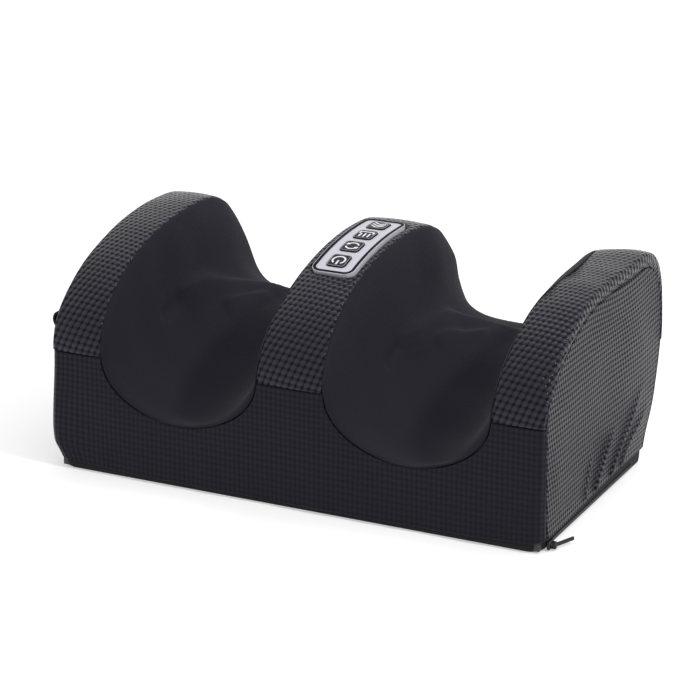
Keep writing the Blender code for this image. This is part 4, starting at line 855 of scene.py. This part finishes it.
def curveThrough(places, count=60):
    # a smooth line through the places: a cubic of each coordinate between them
    places = np.array(places)
    knots = np.concatenate([[0], np.cumsum(np.linalg.norm(np.diff(places, axis=0), axis=1))])
    slope = np.gradient(places, knots, axis=0)
    at = np.linspace(0, knots[-1], count)
    k = np.clip(np.searchsorted(knots, at, side="right") - 1, 0, len(knots) - 2)
    gap = (knots[k + 1] - knots[k])[:, None]
    t = ((at - knots[k]) / (knots[k + 1] - knots[k]))[:, None]
    start, end = places[k], places[k + 1]
    bend = slope[k] * t * (1 - t) ** 2 - slope[k + 1] * t * t * (1 - t)
    return start + (end - start) * smooth(t) + gap * bend


def foldRise(across, run, places, rise, wallReach, floorReach):
    # a rounded ridge: a bell across the line, with its own reach on either side, dying away at both ends
    line = curveThrough([liningPlace(*place) for place in places])
    ahead = np.gradient(line, axis=0)
    gap = np.stack([across, run], axis=-1)[:, :, None] - line
    far = np.sqrt((gap ** 2).sum(-1))
    near = far.argmin(-1)
    along, step = line[near], ahead[near]
    turn = step[..., 0] * (run - along[..., 1]) - step[..., 1] * (across - along[..., 0])
    reach = np.where(turn > 0, wallReach, floorReach)
    ends = smooth((near + 2) / 12) * smooth((61 - near) / 14)
    return rise * np.exp(-(far.min(-1) / reach) ** 2) * ends


def liningRelief(x, y, across, run, side):
    # what shows of the kneading unit under the cloth, and the soft folds round it
    look = liningLook
    gearY = frontY + bodyForm["depth"] * look["headShare"]
    lift = look["headLift"] * bump(x / look["headWide"]) * bump((y - gearY) / look["headDeep"])
    return lift + sum(foldRise(across, run, *fold) for fold in wellFolds[side])


def makeLinings():
    # the well's section moves along its normals by its relief and a slow unevenness, calm near the seams,
    # less the turned-in edge; at the right fin the edge shifts onto the fin and rises over its corner
    look, over = liningLook, overlapLook
    for side, name in sideNames:
        x, y, z, across, run = liningGrid()
        points = np.stack([x + side * wellForm["centre"], y, z], axis=-1)
        normal = gridNormals(points)
        if normal[look["rows"] // 2, look["cols"] // 2, 2] < 0:
            normal = -normal
        distance = np.minimum(across - across[:, :1], across[:, -1:] - across)
        distance = np.minimum(distance, np.minimum(run, finLength - run))
        uneven = look["uneven"] * ripple(across, run, look["unevenSize"], 31 + side)
        rise = (liningRelief(x, y, across, run, side) + uneven) * smooth(distance / look["calm"])
        points = points + normal * (rise - turnedIn(distance, look["turn"]))[..., None]
        if side > 0:
            near = smooth(1 - (across[:, -1:] - across) / over["drawn"])
            hump = np.sqrt(near) * (1 - over["settle"] * near)
            points[..., 0] += drawnOver(y) * near
            points[..., 2] += over["rise"] * bell(y, over["along"]) * hump
        uv = np.stack([across, run], axis=-1)
        outward = points + normal
        fit = fitted(points)
        lining = sheetPiece(f"{name}WellLining", fit, look["thickness"], knit, uv, outward)
        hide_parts(f"{name}_well_lining")


makeLinings()
print("well linings sewn")


# foam pads under the bands

foamLook = {"top": 0.0046, "depth": 0.0098, "edge": 0.0016, "swell": 0.0006, "swellSize": 0.03,
            "calm": 0.01, "wellGap": 0.0060, "leastRoll": 0.009, "rollGap": 0.001, "endGap": 0.004,
            "panelGap": 0.003, "rows": 90, "cols": 26}


def foamGrid(side, runStart, runEnd):
    # between the well's edge and the outer roll, a little under the fin's line, with quarter-round edges
    look = foamLook
    run = np.linspace(runStart, runEnd, look["rows"])[:, None]
    height = onFin(run, "z")
    edge = wellHalf(height) + look["wellGap"]
    inner = wellForm["centre"] + edge if side else -(wellForm["centre"] - edge)
    roll = np.maximum(rollRadius(height), look["leastRoll"])
    outer = halfWidth - roll + look["rollGap"] if side else -inner
    share = np.linspace(0, 1, look["cols"])[None]
    x = inner + (outer - inner) * share
    sides = np.minimum(share, 1 - share) * np.abs(outer - inner)
    near = np.minimum(sides, np.minimum(run - runStart, runEnd - run))
    swell = look["swell"] * ripple(x, run, look["swellSize"], 41 + side) * smooth(near / look["calm"])
    lift = -look["top"] - turnedIn(near, look["edge"]) + swell
    return overFin(side * x if side else x, lift, run), run, share


def makeFoams():
    # one pad under each outer band and two under the middle one, before and behind the control panel
    look = foamLook
    first, last = look["endGap"], finLength - look["endGap"]
    panelStart = panelRun - panelForm["length"] / 2
    before, behind = panelStart - look["panelGap"], panelStart + panelForm["length"] + look["panelGap"]
    whole, parted = [(first, last)], [(first, before), (behind, last)]
    for side, name, spans in ((-1, "left", whole), (1, "right", whole), (0, "middle", parted)):
        for number, (low, high) in enumerate(spans):
            points, run, share = foamGrid(side, low, high)
            uv = np.stack(np.broadcast_arrays(share * 0.04, run), axis=-1)
            upper = points[..., 1:2] > 0.05
            outward = points + np.where(upper, np.array([0, 0.2, 1.0]), np.array([0, -0.7, 0.7]))
            piece = f"{name}FoamPad{number + 1}"
            pad = sheetPiece(piece, fitted(points), look["depth"], foamFinish, uv, outward)
            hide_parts(f"{name}_fin_foam")


makeFoams()
print("foam pads laid")


# base cloth, zip tape with its teeth, and the loop at the left

tapeLook = {"low": 0.0016, "high": 0.0094, "inset": 0.0022, "thickness": 0.0012, "corner": 0.011,
            "bulge": 0.0005}
teethLook = {"pitch": 0.0021, "long": 0.0016, "wide": 0.0011, "proud": 0.0009, "start": -0.098,
             "end": 0.084, "z": 0.0046, "gap": 0.0006, "bulgeShare": 0.8}
baseLook = {"inset": 0.0040, "corner": 0.010, "height": 0.0015, "thickness": 0.0013}
loopLook = {"x": -0.2058, "y": -0.099, "z": 0.117, "wide": 0.0080, "tall": 0.0068, "out": 0.0064,
            "thick": 0.0017, "lift": 0.0008}


def footPlan(inset, corner):
    # the base's outline seen from above
    return roundedLoop(halfWidth - inset, halfDepth - inset, corner, 26, 10)


def atHeight(plan, height):
    # a flat outline set at a height
    return np.column_stack([plan, np.full(len(plan), height)])


def makeTape():
    # a band round the foot: its outside bulges by a half sine from its lower to its upper edge
    look = tapeLook
    rings = []
    for share in np.linspace(0, 1, 7):
        plan = footPlan(look["inset"] - look["bulge"] * math.sin(math.pi * share), look["corner"])
        rings.append(atHeight(plan, look["low"] + (look["high"] - look["low"]) * share))
    inner = footPlan(look["inset"] + look["thickness"], look["corner"] - look["thickness"])
    rings += [atHeight(inner, look["high"]), atHeight(inner, look["low"])]
    rings = hemmed(fitted(np.array(rings)))
    faces = gridFaces(*rings.shape[:2], roundRows=True, roundCols=True)
    tape = makeObject("zipTapeCloth", rings.reshape(-1, 3), faces, tapeCloth, None, 40)
    faceOutwards(tape)
    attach(tape, "massager")
    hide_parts("zip_tape")


def makeTeeth():
    # two rows of small moulded teeth that close on each other, along the run that the slider travels: one
    # tapered block, repeated at half the pitch, above and below the middle in turn
    look = teethLook
    block = np.array([[-1, -1, 0], [1, -1, 0], [1, 1, 0], [-1, 1, 0],
                      [-0.7, -0.8, 1], [0.7, -0.8, 1], [0.7, 0.8, 1], [-0.7, 0.8, 1]], float)
    quads = np.array([[0, 3, 2, 1], [4, 5, 6, 7], [0, 1, 5, 4], [1, 2, 6, 5], [2, 3, 7, 6], [3, 0, 4, 7]])
    number = np.arange(2 * int((look["end"] - look["start"]) / look["pitch"]))
    local = (block * np.array([look["wide"] / 2, look["long"] / 2, look["proud"]]))[None]
    y = (look["start"] + look["pitch"] * number / 2)[:, None] + local[..., 0]
    z = look["z"] + np.where(number % 2, 1, -1)[:, None] * look["gap"] + local[..., 1]
    face = halfWidth - tapeLook["inset"] + tapeLook["bulge"] * look["bulgeShare"]
    points = fitted(np.stack([face + local[..., 2] + 0 * y, y, z], axis=-1)).reshape(-1, 3)
    faces = (quads[None] + len(block) * number[:, None, None]).reshape(-1, 4)
    teeth = makeObject("zipTeeth", points, faces, toothPlastic, None, 30)
    faceOutwards(teeth)
    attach(teeth, "massager")


def makeBaseCloth():
    # a plain woven sheet: straight rows whose ends follow the rounded corners
    look = baseLook
    corner = look["corner"]
    halfX, halfY = halfWidth - look["inset"], halfDepth - look["inset"]
    y = halfY * np.sin(np.linspace(-math.pi / 2, math.pi / 2, 60))[:, None]
    past = np.clip(np.abs(y) - (halfY - corner), 0, corner)
    reach = halfX - corner + np.sqrt(corner ** 2 - past ** 2)
    x, y = np.broadcast_arrays(reach * np.linspace(-1, 1, 90)[None], y)
    points = np.stack([x, y, np.full(x.shape, look["height"])], axis=-1)
    above = points + np.array([0, 0, 1.0])
    cloth = sheetPiece("baseCloth", fitted(points), look["thickness"], tapeCloth, points[..., :2], above)
    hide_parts("base_cloth")


def makeLoop():
    # a folded webbing loop sewn to the side: the strap's section carried round a half ellipse, with a
    # centre point to close each end
    look = loopLook
    turn = np.linspace(-math.pi / 2, math.pi / 2, 34)
    path = np.stack([-look["out"] * np.cos(turn), look["tall"] * np.sin(turn)], axis=-1)
    path[:, 1] += look["lift"] * np.cos(turn)
    ahead = np.gradient(path, axis=0)
    normal = np.stack([ahead[:, 1], -ahead[:, 0]], axis=-1) / np.linalg.norm(ahead, axis=1, keepdims=True)
    section = np.array([(-1, -0.75), (-0.9, -1), (0.9, -1), (1, -0.75),
                        (1, 0.75), (0.9, 1), (-0.9, 1), (-1, 0.75)])
    flat = path[:, None] + normal[:, None] * (section[None, :, 1:] * look["thick"] / 2)
    y = np.broadcast_to(look["y"] + section[:, 0] * look["wide"] / 2, flat.shape[:2])
    rings = np.stack([look["x"] + flat[..., 0], y, look["z"] + flat[..., 1]], axis=-1)
    count, size = rings.shape[:2]
    faces = list(gridFaces(count, size, roundCols=True))
    for ring, centre, turned in ((0, 0, -1), (count - 1, 1, 1)):
        around = ring * size + np.arange(size)
        fan = np.stack([around, np.roll(around, -1), np.full(size, count * size + centre)], axis=-1)
        faces += list(fan[:, ::turned])
    points = np.concatenate([rings.reshape(-1, 3), rings[0].mean(0)[None], rings[-1].mean(0)[None]])
    loop = makeObject("sideLoopWebbing", points, faces, loopCloth, None, 60)
    faceOutwards(loop)
    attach(loop, "massager")
    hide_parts("side_loop")


makeTape()
makeTeeth()
makeBaseCloth()
makeLoop()
print("base cloth, zip and loop sewn")


# control panel: a dark ribbon round the plate, painted shade where the groove is, and the printed marks on
# the keys

keyForm = {"pitch": 0.0235, "width": 0.0155, "length": 0.0165, "top": 0.0028, "corner": 0.0028}
grooveLook = {"inset": 0.0018, "wide": 0.0022, "low": 0.0008, "high": 0.00228}
markLook = {"line": 0.00135, "thick": 0.00016, "sunk": 0.0001, "rim": 0.00030, "rimInset": 0.0006}


def ribbonFaces(name, lines, widths, low, high, centre, material, body):
    # flat marks that follow the fin: each line gets its width, a top and its sides
    points, faces, start = [], [], 0
    for (line, closed), width in zip(lines, widths):
        line = np.asarray(line, float)
        width = np.broadcast_to(width, len(line))
        ahead = (np.roll(line, -1, 0) - np.roll(line, 1, 0)) if closed else np.gradient(line, axis=0)
        length = np.maximum(np.linalg.norm(ahead, axis=1, keepdims=True), 1e-9)
        normal = np.stack([-ahead[:, 1], ahead[:, 0]], axis=-1) / length
        left, right = line + normal * width[:, None] / 2, line - normal * width[:, None] / 2
        corners = ((left, low), (left, high), (right, high), (right, low))
        rings = [overFin(flat[:, 0], lift, centre + flat[:, 1]) for flat, lift in corners]
        points.append(np.array(rings).transpose(1, 0, 2).reshape(-1, 3))
        faces += list(gridFaces(len(line), 4, start, roundRows=closed, roundCols=True))
        if not closed:
            faces += [np.array([0, 1, 2, 3]) + start, np.array([3, 2, 1, 0]) + start + 4 * (len(line) - 1)]
        start += 4 * len(line)
    obj = makeObject(name, np.concatenate(points), faces, material, None, 40)
    faceOutwards(obj)
    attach(obj, body)


def arcLine(radius, start, end, count=22):
    # part of a circle between two angles in degrees
    angle = np.radians(np.linspace(start, end, count))
    return radius * np.stack([np.cos(angle), np.sin(angle)], axis=-1)


def straight(*corners):
    # a line through the corners, with steps between them so that it bends with the fin
    corners = np.array(corners, float)
    path = [np.linspace(a, b, 5)[:-1] for a, b in zip(corners[:-1], corners[1:])]
    return np.concatenate(path + [corners[-1:]])


def keyMarks():
    # millimetres on a key, with up towards the user's side at the front; each line with its width
    line = markLook["line"] * 1000
    tip = np.linspace(3.6, 0.05, 6)
    power = [(arcLine(5.0, 125, 415), line), (straight((0, 0.6), (0, 6.2)), line)]
    turning = [(arcLine(4.9, 20, 140), line), (arcLine(4.9, 200, 320), line)]
    for at in (140, 320):
        angle = math.radians(at)
        place = 4.9 * np.array([math.cos(angle), math.sin(angle)])
        ahead = np.array([-math.sin(angle), math.cos(angle)])
        turning.append((place + ahead * np.linspace(0, 3.0, 6)[:, None], tip))
    heat = [(straight((x, -1.2), (x, 5.4)), line) for x in (-3.6, 0, 3.6)]
    heat.append((straight((-5.6, -1.2), (-5.6, -4.6), (5.6, -4.6), (5.6, -1.2)), line))
    sway = np.linspace(-math.pi, math.pi, 25)
    across = np.linspace(-5.6, 5.6, 25)
    waves = [(np.stack([across, y + 1.6 * np.cos(sway)], axis=-1), line) for y in (-3.7, 0.1, 3.9)]
    return {"power_key": power, "direction_key": turning, "heat_key": heat, "speed_key": waves}


def panelLoop(form, inset, sideSteps):
    # a rounded rectangle that lies this far inside a piece's outline
    halfX, halfY = form["width"] / 2 - inset, form["length"] / 2 - inset
    return roundedLoop(halfX, halfY, form["corner"] - inset, sideSteps, 8)


def makePanelMarks():
    # the groove's painted shade follows the plate's outline; each key gets its icon and a thin rim, riding on
    # the key
    groove, mark = grooveLook, markLook
    ribbonFaces("panelGrooveShade", [(panelLoop(panelForm, groove["inset"], 26), True)], [groove["wide"]],
                groove["low"], groove["high"], panelRun, grooveShade, "massager")
    for number, (key, marks) in enumerate(keyMarks().items()):
        place = panelRun + (number - 1.5) * keyForm["pitch"]
        low, high = keyForm["top"] - mark["sunk"], keyForm["top"] + mark["thick"]
        # a mark's up is towards the front, so that x turns with it
        lines = [(np.asarray(line) * -0.001, False) for line, width in marks]
        widths = [np.asarray(width) * 0.001 for line, width in marks]
        shortKey = key.replace("_key", "")
        ribbonFaces(f"{shortKey}Mark", lines, widths, low, high, place, iconInk, key)
        lines, widths = [(panelLoop(keyForm, mark["rimInset"], 12), True)], [mark["rim"]]
        high -= mark["thick"] / 2
        ribbonFaces(f"{shortKey}KeyRim", lines, widths, low, high, place, rimInk, key)


makePanelMarks()
print("control panel marked")


# finishes of the CAD pieces that keep their shape

hardFinishes = {
    "silver_plastic": silver, "key_plastic": keyPlastic, "zip_metal": darkMetal,
    "casing_plastic": moulded("casingAbs", (0.030, 0.030, 0.034), 0.55, grain=0.00006),
    "board": moulded("boardGreen", (0.020, 0.120, 0.050), 0.38),
    "heat_film": moulded("heatFilm", (0.42, 0.17, 0.04), 0.28),
    "gearbox_plastic": moulded("gearboxNylon", (0.42, 0.42, 0.40), 0.50),
    "wheel_plastic": moulded("wheelAcetal", (0.72, 0.70, 0.62), 0.36),
    "head_rubber": moulded("headRubber", (0.22, 0.035, 0.030), 0.62, grain=0.00008),
    "steel": moulded("brightSteel", (0.55, 0.55, 0.56), 0.26, 1.0),
    "motor_steel": moulded("motorCan", (0.42, 0.42, 0.43), 0.34, 1.0)}
ownFinishes = {"panel_plate": plateFinish}


def dressHardPieces():
    # each shown CAD piece takes its finish by the name of the material that it was packed with
    count = 0
    for name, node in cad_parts.items():
        if node.hide_render:
            continue
        packed = node.data.materials[0].name.split(".")[0] if node.data.materials else ""
        finish = ownFinishes.get(name) or hardFinishes.get(packed)
        if finish is None:
            print("no finish for", name, packed)
            continue
        for slot in node.material_slots:
            slot.link = "OBJECT"
            slot.material = finish
        count += 1
    print(count, "hard pieces finished")


dressHardPieces()


# camera, floor and lamps

viewLook = {"yaw": 26.2, "pitch": 18.42, "distance": 2.043, "focal": 2624.0, "centreX": 352.97,
            "centreY": 334.44, "target": (0.0, -0.0055, 0.107), "picture": 680, "sensor": 36, "farthest": 50}


def facingAlong(place, ahead):
    # stands at the place and looks ahead with its top up
    return Matrix.Translation(place) @ ahead.to_track_quat("-Z", "Y").to_matrix().to_4x4()


def makeCamera():
    # stands back from the target along the photograph's line of sight, shifted by the picture's offset
    look = viewLook
    yaw, pitch = math.radians(look["yaw"]), math.radians(look["pitch"])
    back = Vector((math.sin(yaw) * math.cos(pitch), -math.cos(yaw) * math.cos(pitch), math.sin(pitch)))
    right = (-back).cross(Vector((0, 0, 1))).normalized()
    up = right.cross(-back)
    scale = look["distance"] / look["focal"]
    place = Vector(look["target"]) + back * look["distance"]
    place -= right * ((look["centreX"] - look["picture"] / 2) * scale)
    place += up * ((look["centreY"] - look["picture"] / 2) * scale)
    data = bpy.data.cameras.new("camera")
    data.sensor_width = look["sensor"]
    data.lens = look["focal"] / look["picture"] * look["sensor"]
    data.clip_end = look["farthest"]
    camera = bpy.data.objects.new("camera", data)
    camera.matrix_world = facingAlong(place, -back)
    bpy.context.scene.collection.objects.link(camera)
    bpy.context.scene.camera = camera


floorLook = {"size": 30.0, "paint": 0.82, "glow": 0.38}
lampLook = {"world": 0.74, "aim": (0, 0, 0.08),
            "lamps": [("topLamp", (0.2, 0.9, 1.9), 1.6, 7.0),
                      ("rightLamp", (1.42, -0.26, 1.46), 0.20, 13.0)]}


def clearedTree(owner):
    # the shader tree of a material or a world, emptied
    owner.use_nodes = True
    owner.node_tree.nodes.clear()
    return owner.node_tree


def lightNode(tree, kind, socket, value, colour=None):
    # a node with one socket set, and its colour where one is given
    node = tree.nodes.new(kind)
    node.inputs[socket].default_value = value
    if colour is not None:
        node.inputs["Color"].default_value = colour
    return node


def showToRays(tree, kind, plain, shown, rays):
    # the output takes the plain shader, and the shown one for these kinds of ray
    path = tree.nodes.new("ShaderNodeLightPath")
    share = path.outputs[rays[0]]
    for ray in rays[1:]:
        either = tree.nodes.new("ShaderNodeMath")
        either.operation = "MAXIMUM"
        tree.links.new(share, either.inputs[0])
        tree.links.new(path.outputs[ray], either.inputs[1])
        share = either.outputs[0]
    mix = tree.nodes.new("ShaderNodeMixShader")
    for slot, source in enumerate((share, plain.outputs[0], shown.outputs[0])):
        tree.links.new(source, mix.inputs[slot])
    tree.links.new(mix.outputs[0], tree.nodes.new(kind).inputs[0])


def makeFloor():
    # a plain pale square, which camera and gloss rays see with a glow added so that it meets the background
    half = floorLook["size"] / 2
    mesh = bpy.data.meshes.new("floor")
    corners = [(-half, -half, 0), (half, -half, 0), (half, half, 0), (-half, half, 0)]
    mesh.from_pydata(corners, [], [(0, 1, 2, 3)])
    floor = bpy.data.objects.new("floor", mesh)
    bpy.context.scene.collection.objects.link(floor)
    paint = bpy.data.materials.new("floorPaint")
    tree = clearedTree(paint)
    diffuse = lightNode(tree, "ShaderNodeBsdfDiffuse", "Color", (floorLook["paint"],) * 3 + (1,))
    glow = lightNode(tree, "ShaderNodeEmission", "Strength", floorLook["glow"])
    both = tree.nodes.new("ShaderNodeAddShader")
    tree.links.new(diffuse.outputs[0], both.inputs[0])
    tree.links.new(glow.outputs[0], both.inputs[1])
    showToRays(tree, "ShaderNodeOutputMaterial", diffuse, both, ("Is Camera Ray", "Is Glossy Ray"))
    mesh.materials.append(paint)


def makeWorld():
    # soft light from all round, seen as plain white
    world = bpy.data.worlds.new("studio")
    bpy.context.scene.world = world
    tree = clearedTree(world)
    white = (1, 1, 1, 1)
    soft = lightNode(tree, "ShaderNodeBackground", "Strength", lampLook["world"], white)
    seen = lightNode(tree, "ShaderNodeBackground", "Strength", 1.0, white)
    rays = ("Is Camera Ray", "Is Transmission Ray", "Is Glossy Ray")
    showToRays(tree, "ShaderNodeOutputWorld", soft, seen, rays)


def makeLamps():
    # round lamps turned to the object
    for name, place, size, power in lampLook["lamps"]:
        lamp = bpy.data.lights.new(name, "AREA")
        lamp.shape = "DISK"
        lamp.size = size
        lamp.energy = power
        obj = bpy.data.objects.new(name, lamp)
        obj.matrix_world = facingAlong(place, Vector(lampLook["aim"]) - Vector(place))
        bpy.context.scene.collection.objects.link(obj)


makeCamera()
makeFloor()
makeWorld()
makeLamps()
bpy.context.scene.view_settings.view_transform = "Standard"
print("camera, floor and lamps set")
